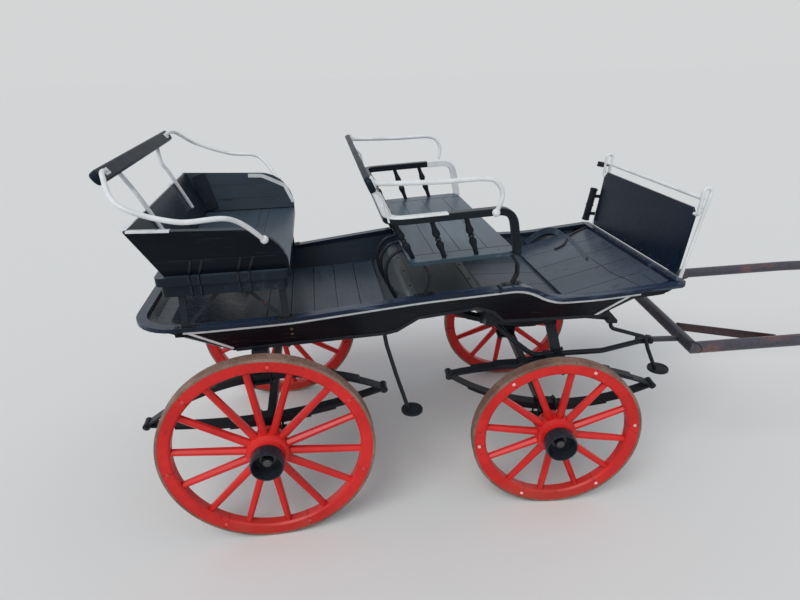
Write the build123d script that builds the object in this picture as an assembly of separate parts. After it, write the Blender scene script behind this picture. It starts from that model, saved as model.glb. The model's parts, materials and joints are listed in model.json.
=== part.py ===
from build123d import *
import os
from math import asin, ceil, cos, radians, sin

# Open four-wheeled carriage for a pony: a flared tray body on elliptic springs, a turntable
# forecarriage, two seats with bent rails and a pair of pipe shafts.
# Millimetres. +X points ahead to the shafts, +Y to the left, +Z up, the ground is z = 0.
# Everything is drawn from the rear axle with the forecarriage straight. At the end the forecarriage
# is turned to its angle at rest and the whole is moved so that the origin is on the ground under
# the middle of its length.

# Running gear, whole
wheelbase = 1186
track = 1036
kingpin_back = 121
steer_at_rest = -6.66
bore_gap = 0.05
seat_gap = 0.3

# Wheels: radius over the tyre and number of spokes for each axle
WHEELS = {
    "rear": dict(radius=400, spokes=14),
    "front": dict(radius=338, spokes=12),
}
tyre_width = 48
tyre_thick = 10
felloe_deep = 45
felloe_width = 46
felloe_chamfer = 7
spoke_foot = 34
spoke_tip = 28
spoke_thin = 0.82
nave_radius = 80
nave_end_radius = 60
nave_inner = 78
nave_outer = 46
cap_radius = 62
cap_wall = 7
cap_long = 54

# Axles
arm_radius = 17
axle_bed = 34
collar_radius = 31
collar_thick = 8
collar_play = 1.5
nut_flats = 38
nut_thick = 20
nut_play = 4

# Elliptic springs: eye height, underside of the lower half, top of the upper half, half length
SPRINGS = {
    "rear": dict(side=384, eye_z=510, low_z=434, high_z=662, half=437),
    "front": dict(side=384, eye_z=509, low_z=371, high_z=597, half=408),
}
leaf_thick = 7
leaf_width = 44
leaf_shares = (1.0, 0.78, 0.56, 0.34)
spring_eye_radius = 13
spring_pad = 60

# Body tray: bottom half width at bottom_ref, flare of the sides and slope of the two ends
bottom_ref = 740
tray_half = 364
side_flare = 0.40
rear_foot_x = -74
rear_slope = 2.52
front_foot_x = 1285
front_slope = 2.35
tray_top = 1000
corner_growth = 1.05
wall = 14
sill_y = 340

# Lower edge of the tray in side view, with the arch over the turning wheels
BELLY = [(-600, 735), (-100, 752), (470, 769), (512, 779), (592, 836), (822, 860), (882, 832),
         (932, 779), (1335, 763), (2000, 763)]

# Top of the rail in side view, and the bend at each inner point
RAIL_LINE = [(-480, 888), (-200, 874), (120, 882), (600, 940), (992, 964), (1112, 872),
             (1300, 869), (1720, 914)]
RAIL_BENDS = [300, 400, 600, 110, 150, 500]
rail_thick = 24
rail_width = 50
rail_half = 448
rail_back = -446
rail_front = 1674
rail_front_half = 412
rail_taper_x = 1300
rail_back_corner = 150
rail_front_corner = 45

# Boards
board_thick = 12
board_gap = 3
rear_floor = (-80, 496)
rear_board_pitch = 96
front_floor = (884, 1300)
front_board_pitch = 118
front_floor_half = 352
foot_low = (1236, 806)
foot_high = (1656, 902)
foot_half = 382
foot_boards = 5

# Box under the driver's seat: back face, top, and the sloping front face
riser_back = 505
riser_top = 1012
riser_top_front = 772
riser_foot_front = 905
riser_half = 392

# Dashboard: a chamfered panel between two hairpin rods
dash_foot = (1648, 916)
dash_head = (1681, 1182)
dash_foot_half = 353
dash_half = 360
dash_chamfer = 24
dash_thick = 10
hairpin_side = 377
hairpin_rod = 7
hairpin_top = 1262
hairpin_inner_foot = 1160
hairpin_outer_foot = 896
dash_bar_z = 1222
hairpin_apart = 26
hairpin_foot_apart = 6
hairpin_back = 9
dash_lean = (dash_head[0] - dash_foot[0]) / (dash_head[1] - dash_foot[1])
whip_side = 398
whip_radius = 17
whip_bore = 12.5
whip_floor = 12
whip_long = 165
whip_foot_z = 930
whip_foot_x = 1618
whip_lean = 10
whip_ring_up = 275
whip_ring_long = 22
whip_ring_gap = 1.5
whip_clips = (35, 125)
whip_clip_high = 16
whip_clip_thick = 5

# Rear seat: two flat tiers and a flared tub on them
rear_base_z = 1007
rear_tier_thick = 43
rear_seat_top = 1080
rear_base = (-305, 141)
rear_base_half = 440
rear_tier_inset = 14
tub_back = -273
tub_foot_half = 420
tub_back_top = (-354, 1254)
tub_back_half = 463
tub_front_top = (3, 1238)
tub_front_mid = (100, 1192)
tub_front_low = 1100
tub_side_flare = 0.30
tub_wall = 14

# Backrest boards: centre line (x, z), half length, height, thickness and lean
BACKRESTS = {
    "rear": dict(at=(-390, 1430), half=506, high=66, thick=24, lean=24),
    "front": dict(at=(424, 1366), half=517, high=62, thick=22, lean=24),
}

# Handrails: side, then the points of the bent rod from the backrest to the ball end
handrail_rod = 8
handrail_ball = 14
HANDRAILS = {
    "rear": dict(side=494, bends=(14, 60, 110, 160, 70),
                 line=[(-388, 1446), (-350, 1444), (-356, 1366), (-298, 1284), (-100, 1280), (8, 1286),
                       (72, 1212)]),
    "front": dict(side=494, bends=(30, 60, 30),
                  line=[(424, 1392), (450, 1370), (862, 1371), (864, 1300), (848, 1244)]),
}

# Driver's seat: board, bent arm rail and turned spindles
seat_top = 1063
seat_thick = 28
seat_x = (570, 950)
seat_half = 454
seat_corner = 40
arm_z = 1240
arm_high = 38
arm_thick = 24
arm_back_x = 486
arm_front_x = 916
arm_half = 456
arm_bend = 62
spindle_inset = 22
SPINDLES = [(596, -1), (716, -1), (840, -1), (596, 1), (716, 1), (840, 1)]
BACK_SPINDLES = (-290, 0, 290)
SPINDLE_FORM = [(0.00, 8), (0.20, 9), (0.38, 14), (0.47, 8), (0.50, 12), (0.53, 8), (0.62, 14), (0.80, 9), (1.00, 8)]

# Seat irons standing on the rail
iron_wide = 24
iron_thick = 9
REAR_LEGS = [(-236, -230), (112, 108)]
FRONT_LEGS = [(612, 600, 632), (938, 925, 958)]
leg_side = 423

# Steps: pad centre and the points of the arm, on the near side
step_rod = 8
pad_radius = 42
pad_thick = 8
MID_STEP = [(466, 356, 774), (474, 366, 716), (504, 405, 600), (546, 425, 452)]
FRONT_STEP = [(1440, 300, 728), (1446, 302, 690), (1590, 316, 650), (1608, 318, 596), (1650, 322, 504)]

# Turntable
ring_radius = 325
ring_width = 36
ring_thick = 10
ring_z = 758
kingpin_radius = 12
kingpin_foot_z = 700
hub_radius = 30
cross_wide = 60
PACKERS = [(-170, 50), (0, 80), (170, 50)]

# Forecarriage irons, on the near side
side_rod = 11
SIDE_IRON = [(960, 300, 733), (1040, 345, 664), (1112, 362, 610), (1400, 352, 614), (1594, 296, 625)]
post_foot = (1212, 362, 602)
post_head = (1190, 300, 728)
post_wide = 40
post_thick = 14

# Shaft hinge and shafts
hinge_x = 1620
hinge_z = 625
hinge_side = 290
hinge_pin = 8
eye_radius = 17
eye_wide = 16
fork_gap = 5
fork_thick = 7
shaft_radius = 24
shaft_wall = 3
shaft_half = 379.5
crossbar_x = 1760
shaft_rise = 0.047
shaft_bend_x = 2650
shaft_narrow = (3150, 322)
shaft_tip = (3470, 312)
shaft_bow = 1400
brace_on_bar = 190
brace_on_shaft = 2110
brace_high = 34
brace_thick = 6

rear_z = WHEELS["rear"]["radius"]
front_z = WHEELS["front"]["radius"]
kingpin_x = wheelbase - kingpin_back
wheel_y = track / 2

body_nodes = {}
fore_nodes = {}


def slab(x, y, z):
    """A box between two corners, each axis given as a (low, high) pair."""
    size = [high - low for low, high in (x, y, z)]
    middle = [(high + low) / 2 for low, high in (x, y, z)]
    return Pos(*middle) * Box(*size)


def both_sides(solid):
    """The solid and its mirror image on the other side of the carriage."""
    return solid + mirror(solid, about=Plane.XZ)


def prism(points, half):
    """An outline in the side view, given as (x, z), made as wide as twice half."""
    outline = make_face(Polyline(*[(x, 0, z) for x, z in points], close=True))
    return extrude(outline, half, both=True)


def bent_rod(points, radius, bends):
    """A round rod along straight runs joined by arcs."""
    path = FilletPolyline(*points, radius=bends)
    return sweep(Plane(origin=path @ 0, z_dir=path % 0) * Circle(radius), path=path)


def flat_iron(points, wide, thick, bends):
    """A flat iron bent in the side view, its width across the carriage."""
    path = FilletPolyline(*points, radius=bends)
    section = Plane(origin=path @ 0, x_dir=(0, 1, 0), z_dir=path % 0) * Rectangle(wide, thick)
    return sweep(section, path=path)


def bar(start, end, wide, thick, across=(1, 0, 0)):
    """A straight flat bar between two points, its width along the direction across."""
    path = Line(start, end)
    section = Plane(origin=start, x_dir=across, z_dir=path % 0) * Rectangle(wide, thick)
    return sweep(section, path=path)


def rod(start, end, radius):
    """A straight round rod between two points."""
    path = Line(start, end)
    return sweep(Plane(origin=start, z_dir=path % 0) * Circle(radius), path=path)


# Wheels


def nave():
    """The turned middle of a wheel, its axis along Y and its outer end at +Y."""
    bore = arm_radius + bore_gap
    outline = [(bore, -nave_inner), (nave_end_radius - 8, -nave_inner), (nave_end_radius, -nave_inner + 8),
               (nave_end_radius + 4, -42), (nave_radius - 3, -26), (nave_radius, -20), (nave_radius, 20),
               (nave_radius - 3, 26), (nave_end_radius + 6, 32), (nave_end_radius + 4, nave_outer),
               (bore, nave_outer)]
    face = make_face(Polyline(*[(r, t, 0) for r, t in outline], close=True))
    return revolve(face, axis=Axis.Y)


def spoke(inner, outer):
    """One tapered spoke standing on +Z, from the nave to the felloe."""
    sections = []
    for z, size in ((inner, spoke_foot), (outer, spoke_tip)):
        wide = size * spoke_thin
        cut = chamfer(Rectangle(wide, size).vertices(), size * 0.27)
        sections.append(Pos(0, 0, z) * cut)
    return loft(sections, ruled=True)


def rim(outer, inner, width, edge):
    """A ring about Y whose inner edges are chamfered."""
    half = width / 2
    outline = [(outer, -half), (outer, half), (inner + edge, half), (inner, half - edge),
               (inner, edge - half), (inner + edge, -half)]
    face = make_face(Polyline(*[(r, t, 0) for r, t in outline], close=True))
    return revolve(face, axis=Axis.Y)


def wooden_wheel(radius, spokes):
    """Nave, spokes and felloes in one, about Y."""
    felloe_out = radius - tyre_thick
    felloe_in = felloe_out - felloe_deep
    solid = nave() + rim(felloe_out, felloe_in, felloe_width, felloe_chamfer)
    one = spoke(nave_radius - 6, felloe_in + 5)
    for turn in range(spokes):
        solid += Rot(0, 360 / spokes * (turn + 0.5), 0) * one
    return solid


def tyre(radius):
    """The iron band shrunk on the felloes."""
    half = tyre_width / 2
    inner = radius - tyre_thick
    edge = 2
    outline = [(inner, -half), (inner, half), (radius - edge, half), (radius, half - edge),
               (radius, edge - half), (radius - edge, -half)]
    face = make_face(Polyline(*[(r, t, 0) for r, t in outline], close=True))
    return revolve(face, axis=Axis.Y)


def hub_cap():
    """The open black collar in front of the nave, round the axle nut."""
    bore = arm_radius + 3
    foot = nave_outer
    end = foot + cap_long
    outline = [(bore, foot), (cap_radius - 3, foot), (cap_radius - 3, foot + 10), (cap_radius, foot + 14),
               (cap_radius, end - 10), (cap_radius - 3, end), (cap_radius - cap_wall, end),
               (cap_radius - cap_wall, foot + nut_play - 1), (bore, foot + nut_play - 1)]
    face = make_face(Polyline(*[(r, t, 0) for r, t in outline], close=True))
    return revolve(face, axis=Axis.Y)


def place_wheel(solid, x, z, side):
    """A wheel piece set on its axle, turned outward on either side."""
    turned = solid if side > 0 else Rot(0, 0, 180) * solid
    return Pos(x, side * wheel_y, z) * turned


for axle, x, nodes in (("rear", 0, body_nodes), ("front", wheelbase, fore_nodes)):
    radius = WHEELS[axle]["radius"]
    pieces = {
        "wheel": wooden_wheel(radius, WHEELS[axle]["spokes"]),
        "tyre": tyre(radius),
        "hub_cap": hub_cap(),
    }
    for side, word in ((1, "left"), (-1, "right")):
        for piece, solid in pieces.items():
            nodes[f"{piece}_{axle}_{word}"] = place_wheel(solid, x, radius, side)


# Axles


def axle(x, z, bed_half):
    """A square bed with a turned arm, collar and nut at each end."""
    half = axle_bed / 2
    solid = slab((x - half, x + half), (-bed_half, bed_half), (z - half, z + half))
    collar_end = wheel_y - nave_inner - collar_play
    arm_end = wheel_y + nave_outer + nut_play + nut_thick + 6
    nut_start = wheel_y + nave_outer + nut_play
    across = Pos(x, 0, z) * Rot(-90, 0, 0)
    end = across * Pos(0, 0, bed_half - 5) * extrude(Circle(arm_radius), arm_end - bed_half + 5)
    end += across * Pos(0, 0, collar_end - collar_thick) * extrude(Circle(collar_radius), collar_thick)
    end += across * Pos(0, 0, nut_start) * extrude(RegularPolygon(nut_flats / 2, 6, major_radius=False), nut_thick)
    return solid + both_sides(end)


bed_half = wheel_y - nave_inner - collar_play - collar_thick
body_nodes["rear_axle"] = axle(0, rear_z, bed_half)
fore_nodes["front_axle"] = axle(wheelbase, front_z, bed_half)


# Elliptic springs


def leaf(half, eye_z, mid_z, depth, share):
    """One leaf of a half ellipse; depth is how far it lies below or above the longest leaf."""
    rise = mid_z - eye_z
    radius = (half * half + rise * rise) / (2 * abs(rise))
    up = 1 if rise > 0 else -1
    centre_z = mid_z - up * radius
    line_radius = radius + depth
    swing = share * asin(half / radius)
    ends = [(side * line_radius * sin(swing), 0, centre_z + up * line_radius * cos(swing)) for side in (-1, 1)]
    path = ThreePointArc(ends[0], (0, 0, centre_z + up * line_radius), ends[1])
    section = Plane(origin=path @ 0, x_dir=(0, 1, 0), z_dir=path % 0) * Rectangle(leaf_width, leaf_thick)
    return sweep(section, path=path)


def elliptic_spring(eye_z, low_z, high_z, half, side):
    """Two stacks of leaves joined at eyes, with the seat pads under and over the middle."""
    stack = (len(leaf_shares) - 0.5) * leaf_thick
    solid = None
    for mid_z in (low_z + stack, high_z - stack):
        for layer, share in enumerate(leaf_shares):
            one = leaf(half, eye_z, mid_z, layer * leaf_thick, share)
            solid = one if solid is None else solid + one
    eye = Rot(90, 0, 0) * extrude(Circle(spring_eye_radius), leaf_width / 2, both=True)
    for end in (-half, half):
        solid += Pos(end, 0, eye_z) * eye
    return solid


for axle_name, x, nodes in (("rear", 0, body_nodes), ("front", wheelbase, fore_nodes)):
    form = SPRINGS[axle_name]
    spring = elliptic_spring(**form)
    for side, word in ((1, "left"), (-1, "right")):
        nodes[f"spring_{axle_name}_{word}"] = Pos(x, side * form["side"], 0) * spring


def spring_seats(x, axle_z, form):
    """Blocks that hold the springs down on the axle bed, one each side."""
    half = leaf_width / 2 + 4
    y = (form["side"] - half, form["side"] + half)
    block = slab((x - spring_pad / 2, x + spring_pad / 2), y, (axle_z + axle_bed / 2, form["low_z"]))
    return both_sides(block)


body_nodes["rear_axle"] += spring_seats(0, rear_z, SPRINGS["rear"])
fore_nodes["front_axle"] += spring_seats(wheelbase, front_z, SPRINGS["front"])


# Body tray


def tray_block(inset):
    """The flared block of the tray, inset by the wall for its inside."""
    sections = []
    for z in (bottom_ref, tray_top):
        rise = z - bottom_ref
        back = rear_foot_x - rear_slope * rise + inset * (1 + rear_slope)
        front = front_foot_x + front_slope * rise - inset * (1 + front_slope)
        half = tray_half + side_flare * rise - inset * 1.05
        corner = 3 + corner_growth * rise
        sections.append(Pos((back + front) / 2, 0, z) * RectangleRounded(front - back, 2 * half, corner))
    return loft(sections, ruled=True)


def above(line, lift):
    """Everything above a line of the side view that is lifted by lift."""
    points = [(x, z + lift) for x, z in line]
    return prism(points + [(points[-1][0], 1400), (points[0][0], 1400)], 700)


def rail_curve(drop):
    """The bent line of the rail in the side view, lowered by drop."""
    return FilletPolyline(*[(x, 0, z - drop) for x, z in RAIL_LINE], radius=RAIL_BENDS)


def rail_band(top_drop, bottom_drop, half):
    """The strip between two drops below the rail's top, across the carriage."""
    upper = rail_curve(top_drop)
    lower = rail_curve(bottom_drop)
    outline = make_face([upper, lower, Line(upper @ 0, lower @ 0), Line(upper @ 1, lower @ 1)])
    return extrude(outline, half, both=True)


def rail_plan(inset):
    """The outline of the rail from above, inset from its outer edge."""
    half = rail_half - inset
    front_half = rail_front_half - inset
    back = rail_back + inset
    front = rail_front - inset
    face = make_face(Polyline((back, -half), (rail_taper_x, -half), (front, -front_half), (front, front_half),
                              (rail_taper_x, half), (back, half), close=True))
    back_corners = face.vertices().filter_by(lambda v: abs(v.X - back) < 1)
    face = fillet(back_corners, rail_back_corner - inset)
    front_corners = face.vertices().filter_by(lambda v: abs(v.X - front) < 1)
    return fillet(front_corners, max(rail_front_corner - inset, 4))


tray = tray_block(0) & above(BELLY, 0) & rail_band(rail_thick, 400, 700)
inside = tray_block(wall) & above(BELLY, wall)
tray -= inside
ring = extrude(Pos(0, 0, 700) * (rail_plan(0) - rail_plan(rail_width)), 400)
body_nodes["rail"] = ring & rail_band(0, rail_thick, 700)

side_zone = slab((-900, 2000), (sill_y, 700), (600, 1100))
body_nodes["body_side_left"] = tray & side_zone
body_nodes["body_side_right"] = tray & mirror(side_zone, about=Plane.XZ)
body_nodes["body_bottom"] = tray - side_zone - mirror(side_zone, about=Plane.XZ)


# Boards of the floor and the footwell


def floor_band():
    """The layer in which the floor boards lie, inside the tray."""
    return tray_block(wall + seat_gap) & above(BELLY, wall) - above(BELLY, wall + board_thick)


layer = floor_band()
boards = []
start, end = rear_floor
for number in range(ceil((end - start) / rear_board_pitch)):
    x = start + number * rear_board_pitch
    boards.append(layer & slab((x, min(x + rear_board_pitch - board_gap, end)), (-700, 700), (600, 1100)))
body_nodes["rear_floor_boards"] = Compound(children=[piece for board in boards for piece in board.solids()])

boards = []
count = int(2 * front_floor_half / front_board_pitch)
pitch = 2 * front_floor_half / count
for number in range(count):
    y = number * pitch - front_floor_half
    piece = layer & slab((riser_foot_front + 4, front_floor[1]), (y, y + pitch - board_gap), (600, 1100))
    boards.append(piece)
body_nodes["front_floor_boards"] = Compound(children=[piece for board in boards for piece in board.solids()])

boards = []
pitch = 2 * foot_half / foot_boards
for number in range(foot_boards):
    y = number * pitch - foot_half
    low = (foot_low[0], foot_low[1])
    section = [low, foot_high, (foot_high[0], foot_high[1] - board_thick), (low[0], low[1] - board_thick)]
    middle = y + (pitch - board_gap) / 2
    boards.append(Pos(0, middle, 0) * prism(section, (pitch - board_gap) / 2))
body_nodes["foot_boards"] = Compound(children=boards)


# Box under the driver's seat


def riser():
    """Five boards that close the space over the wheel arch."""
    shape = [(riser_back, 700), (riser_back, riser_top), (riser_top_front, riser_top), (riser_foot_front, 790),
             (riser_foot_front, 700)]
    hollow = [(riser_back + wall, 690), (riser_back + wall, riser_top - wall),
              (riser_top_front - wall * 0.6, riser_top - wall), (riser_foot_front - wall * 1.2, 780),
              (riser_foot_front - wall * 1.2, 690)]
    box = prism(shape, riser_half) - prism(hollow, riser_half - wall)
    return box & above(BELLY, wall + seat_gap) & tray_block(wall + seat_gap)


body_nodes["riser"] = riser()


# Dashboard


def on_dash(z, ahead=0):
    """The place of a point of the leaning dash plane at height z."""
    return dash_foot[0] + dash_lean * (z - dash_foot[1]) + ahead


def dash_panel():
    """The chamfered panel, leaning forward."""
    lean = Plane(origin=(dash_foot[0], 0, dash_foot[1]), x_dir=(0, 1, 0), z_dir=(1, 0, -dash_lean))
    high = (dash_head[1] - dash_foot[1]) * (1 + dash_lean ** 2) ** 0.5
    outline = Polyline((-dash_foot_half, 0), (dash_foot_half, 0), (dash_half, dash_chamfer),
                       (dash_half, high - dash_chamfer), (dash_half - dash_chamfer, high),
                       (dash_chamfer - dash_half, high), (-dash_half, high - dash_chamfer),
                       (-dash_half, dash_chamfer), close=True)
    return extrude(lean * make_face(outline), dash_thick / 2, both=True)


def outer_leg(z):
    """The place of the hairpin's outer leg at height z; it leans away from the panel upward."""
    share = (z - hairpin_outer_foot) / (hairpin_top - hairpin_outer_foot)
    return on_dash(z, hairpin_foot_apart + share * (hairpin_apart - hairpin_foot_apart))


def dash_rods():
    """The bar over the panel and a hairpin at each side of it."""
    line = [(outer_leg(hairpin_outer_foot), hairpin_side, hairpin_outer_foot),
            (outer_leg(hairpin_top), hairpin_side, hairpin_top),
            (on_dash(hairpin_top, -hairpin_back), hairpin_side, hairpin_top),
            (on_dash(hairpin_inner_foot), hairpin_side, hairpin_inner_foot),
            (on_dash(hairpin_inner_foot), dash_half - 8, hairpin_inner_foot)]
    hairpin = bent_rod(line, hairpin_rod, [15, 15, 12])
    bar_end = (on_dash(dash_bar_z), hairpin_side, dash_bar_z)
    return both_sides(hairpin + rod((bar_end[0], 0, bar_end[2]), bar_end, hairpin_rod))


body_nodes["dash_panel"] = dash_panel()
body_nodes["dash_rods"] = dash_rods()


def upright(radius, high):
    """A cylinder standing on its own origin."""
    return Cylinder(radius, high, align=(Align.CENTER, Align.CENTER, Align.MIN))


def whip_socket():
    """A blind leaning tube clipped to the left hairpin, with a guide ring above it."""
    place = Pos(whip_foot_x, whip_side, whip_foot_z) * Rot(0, whip_lean, 0)
    solid = upright(whip_radius, whip_long) + Pos(0, 0, whip_ring_up) * upright(whip_radius, whip_ring_long)
    solid = place * solid
    for up in whip_clips + (whip_ring_up + whip_ring_long / 2,):
        z = whip_foot_z + up * cos(radians(whip_lean))
        x = whip_foot_x + up * sin(radians(whip_lean))
        solid += bar((x, whip_side, z), (outer_leg(z), hairpin_side, z), whip_clip_high, whip_clip_thick, (0, 0, 1))
    bore = Pos(0, 0, whip_floor) * upright(whip_bore, whip_long)
    guide_bore = Pos(0, 0, whip_ring_up - 1) * upright(whip_bore + whip_ring_gap, whip_ring_long + 2)
    return solid - place * (bore + guide_bore)


body_nodes["whip_socket"] = whip_socket()


# Rear seat


def rear_seat_base():
    """Two stacked flat tiers with rounded corners."""
    middle = (rear_base[0] + rear_base[1]) / 2
    long = rear_base[1] - rear_base[0]
    upper = RectangleRounded(long, 2 * rear_base_half, 26)
    lower = RectangleRounded(long - 2 * rear_tier_inset, 2 * (rear_base_half - rear_tier_inset), 20)
    split = rear_base_z + rear_tier_thick
    base = extrude(Pos(middle, 0, rear_base_z) * lower, split - rear_base_z)
    return base + extrude(Pos(middle, 0, split) * upper, rear_seat_top - split)


def tub_side():
    """The flared left side of the tub with its rounded shoulder."""
    lift = (1 + tub_side_flare ** 2) ** 0.5
    plane = Plane(origin=(0, tub_foot_half, rear_seat_top), x_dir=(1, 0, 0), z_dir=(0, -1, tub_side_flare))

    def at(x, z):
        return (x, (z - rear_seat_top) * lift)

    front = rear_base[1]
    edges = [Polyline(at(*tub_front_top), at(*tub_back_top), at(tub_back, rear_seat_top), at(front, rear_seat_top),
                      at(front, tub_front_low)),
             ThreePointArc(at(front, tub_front_low), at(*tub_front_mid), at(*tub_front_top))]
    return extrude(plane * make_face(edges), tub_wall)


def tub_back_panel():
    """The leaning back of the tub between its sides."""
    rise = tub_back_top[1] - rear_seat_top
    lean = (tub_back - tub_back_top[0]) / rise
    plane = Plane(origin=(tub_back, 0, rear_seat_top), x_dir=(0, 1, 0), z_dir=(1, 0, lean))
    high = rise * (1 + lean ** 2) ** 0.5
    foot = tub_foot_half - tub_wall
    top = foot + tub_side_flare * rise
    outline = make_face(Polyline((-foot, 0), (foot, 0), (top, high), (-top, high), close=True))
    return extrude(plane * outline, tub_wall)


body_nodes["rear_seat_base"] = rear_seat_base()
side_panel = tub_side()
body_nodes["rear_seat_side_left"] = side_panel
body_nodes["rear_seat_side_right"] = mirror(side_panel, about=Plane.XZ)
body_nodes["rear_seat_back"] = tub_back_panel()


def backrest(at, half, high, thick, lean):
    """A leaning board with rounded long edges."""
    section = Plane(origin=(at[0], -half, at[1]), x_dir=(cos(radians(lean)), 0, sin(radians(lean))),
                    z_dir=(0, 1, 0)) * RectangleRounded(thick, high, thick * 0.35)
    return extrude(section, 2 * half)


def handrail(side, line, bends):
    """A bent rod from the backrest's end to a ball on the seat's side."""
    path = [(x, side, z) for x, z in line]
    return bent_rod(path, handrail_rod, bends) + Pos(*path[-1]) * Sphere(handrail_ball)


for seat in ("rear", "front"):
    body_nodes[f"{seat}_backrest"] = backrest(**BACKRESTS[seat])
    body_nodes[f"{seat}_handrails"] = both_sides(handrail(**HANDRAILS[seat]))


def rear_struts():
    """The curved rods that carry the rear backrest from inside the tub."""
    path = [(-388, 262, 1404), (-392, 262, 1350), (-340, 262, 1290), (-296, 262, 1160)]
    return both_sides(bent_rod(path, handrail_rod, (30, 40)))


body_nodes["rear_struts"] = rear_struts()


# Driver's seat


def seat_board():
    """The flat board with rounded corners."""
    middle = (seat_x[0] + seat_x[1]) / 2
    face = RectangleRounded(seat_x[1] - seat_x[0], 2 * seat_half, seat_corner)
    return extrude(Pos(middle, 0, seat_top - seat_thick) * face, seat_thick)


def arm_rail():
    """The bent wooden rail round the back and sides, down to the front corners."""
    path = FilletPolyline((arm_front_x + 20, -arm_half + 2, seat_top), (arm_front_x, -arm_half, arm_z),
                          (arm_back_x, -arm_half, arm_z), (arm_back_x, arm_half, arm_z),
                          (arm_front_x, arm_half, arm_z), (arm_front_x + 20, arm_half - 2, seat_top), radius=arm_bend)
    section = Plane(origin=path @ 0, x_dir=(0, 1, 0), z_dir=path % 0) * Rectangle(arm_thick, arm_high)
    return sweep(section, path=path)


def spindle(start, end):
    """A turned spindle between two points."""
    axis = Vector(*end) - Vector(*start)
    long = axis.length
    outline = [(0, 0)] + [(radius, share * long) for share, radius in SPINDLE_FORM] + [(0, long)]
    face = make_face(Polyline(*[(r, 0, h) for r, h in outline], close=True))
    return Plane(origin=start, z_dir=axis) * revolve(face, axis=Axis.Z)


def spindles():
    """The spindles of both sides and the back."""
    top = arm_z - arm_high / 2
    pieces = []
    for x, side in SPINDLES:
        pieces.append(spindle((x, side * (seat_half - spindle_inset), seat_top), (x - 20, side * arm_half, top)))
    for y in BACK_SPINDLES:
        pieces.append(spindle((seat_x[0] + spindle_inset, y, seat_top), (arm_back_x, y, top)))
    return Compound(children=pieces)


def front_struts():
    """Flat straps that carry the backrest from the arm rail's back corners."""
    foot = (arm_back_x - 4, arm_half - 46, arm_z - 4)
    head = (BACKRESTS["front"]["at"][0] + 18, arm_half - 46, BACKRESTS["front"]["at"][1] - 10)
    return both_sides(bar(foot, head, 34, 8, across=(0, 1, 0)))


body_nodes["front_seat_board"] = seat_board()
body_nodes["arm_rail"] = arm_rail()
body_nodes["spindles"] = spindles()
body_nodes["front_struts"] = front_struts()


# Irons between the rail and the seats


def rail_top(x):
    """Height of the rail's top at x, on its straight runs."""
    for (x0, z0), (x1, z1) in zip(RAIL_LINE, RAIL_LINE[1:]):
        if x0 <= x <= x1:
            return z0 + (z1 - z0) * (x - x0) / (x1 - x0)


def rear_legs():
    """Upright irons and their slanting stays under the rear seat."""
    solid = None
    for foot, head in REAR_LEGS:
        inward = 1 if foot < 0 else -1
        up = bar((foot, leg_side, rail_top(foot)), (head, leg_side - 16, rear_base_z), iron_wide, iron_thick)
        stay = bar((foot + inward * 14, leg_side, rail_top(foot) + 20), (foot + inward * 130, leg_side - 30, rear_base_z),
                   14, 8)
        solid = up + stay if solid is None else solid + up + stay
    return both_sides(solid)


def front_legs():
    """Bowed irons under the driver's seat."""
    solid = None
    for foot, head, bow in FRONT_LEGS:
        low = rail_top(foot)
        high = seat_top - seat_thick
        path = [(foot, leg_side, low), (bow, leg_side, low + 0.35 * (high - low)),
                (bow, leg_side, low + 0.6 * (high - low)), (head, leg_side, high)]
        iron = flat_iron(path, iron_wide, iron_thick, 18)
        solid = iron if solid is None else solid + iron
    return both_sides(solid)


body_nodes["rear_seat_legs"] = rear_legs()
body_nodes["front_seat_legs"] = front_legs()


# Steps


def step(points, bends):
    """A bent arm with a round tread at its foot."""
    x, y, z = points[-1]
    pad = Pos(x + 14, y, z - pad_thick) * Cylinder(pad_radius, pad_thick, align=(Align.CENTER, Align.CENTER, Align.MIN))
    return bent_rod(points, step_rod, bends) + pad


mid_step = step(MID_STEP, (60, 200))
front_step = step(FRONT_STEP, (24, 20, 40))
for nodes, name, solid in ((body_nodes, "mid_step", mid_step), (fore_nodes, "front_step", front_step)):
    nodes[f"{name}_left"] = solid
    nodes[f"{name}_right"] = mirror(solid, about=Plane.XZ)


# Rear spring brackets under the sill


def rear_brackets():
    """Blocks from the top of each rear spring to the underside of the body."""
    form = SPRINGS["rear"]
    half = leaf_width / 2 + 2
    y = (form["side"] - half - 20, form["side"] + half - 14)
    block = slab((-spring_pad / 2, spring_pad / 2), y, (form["high_z"], 900))
    return both_sides(block - above(BELLY, 0))


body_nodes["rear_brackets"] = rear_brackets()


# Turntable and forecarriage


def flat_ring(low_z):
    """A flat ring about the kingpin, its underside at low_z."""
    face = Circle(ring_radius + ring_width / 2) - Circle(ring_radius - ring_width / 2)
    return extrude(Pos(kingpin_x, 0, low_z) * face, ring_thick)


def upper_plate():
    """The ring on the body, the beams over it and the kingpin."""
    low = ring_z - ring_thick
    solid = flat_ring(low)
    for offset, wide in PACKERS:
        x = kingpin_x + offset
        beam = slab((x - wide / 2, x + wide / 2), (-tray_half + 8, tray_half - 8), (ring_z - 4, 850)) - above(BELLY, 0)
        solid += beam
    pin = Pos(kingpin_x, 0, kingpin_foot_z) * Cylinder(kingpin_radius, ring_z - kingpin_foot_z,
                                                      align=(Align.CENTER, Align.CENTER, Align.MIN))
    return solid + pin


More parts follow.
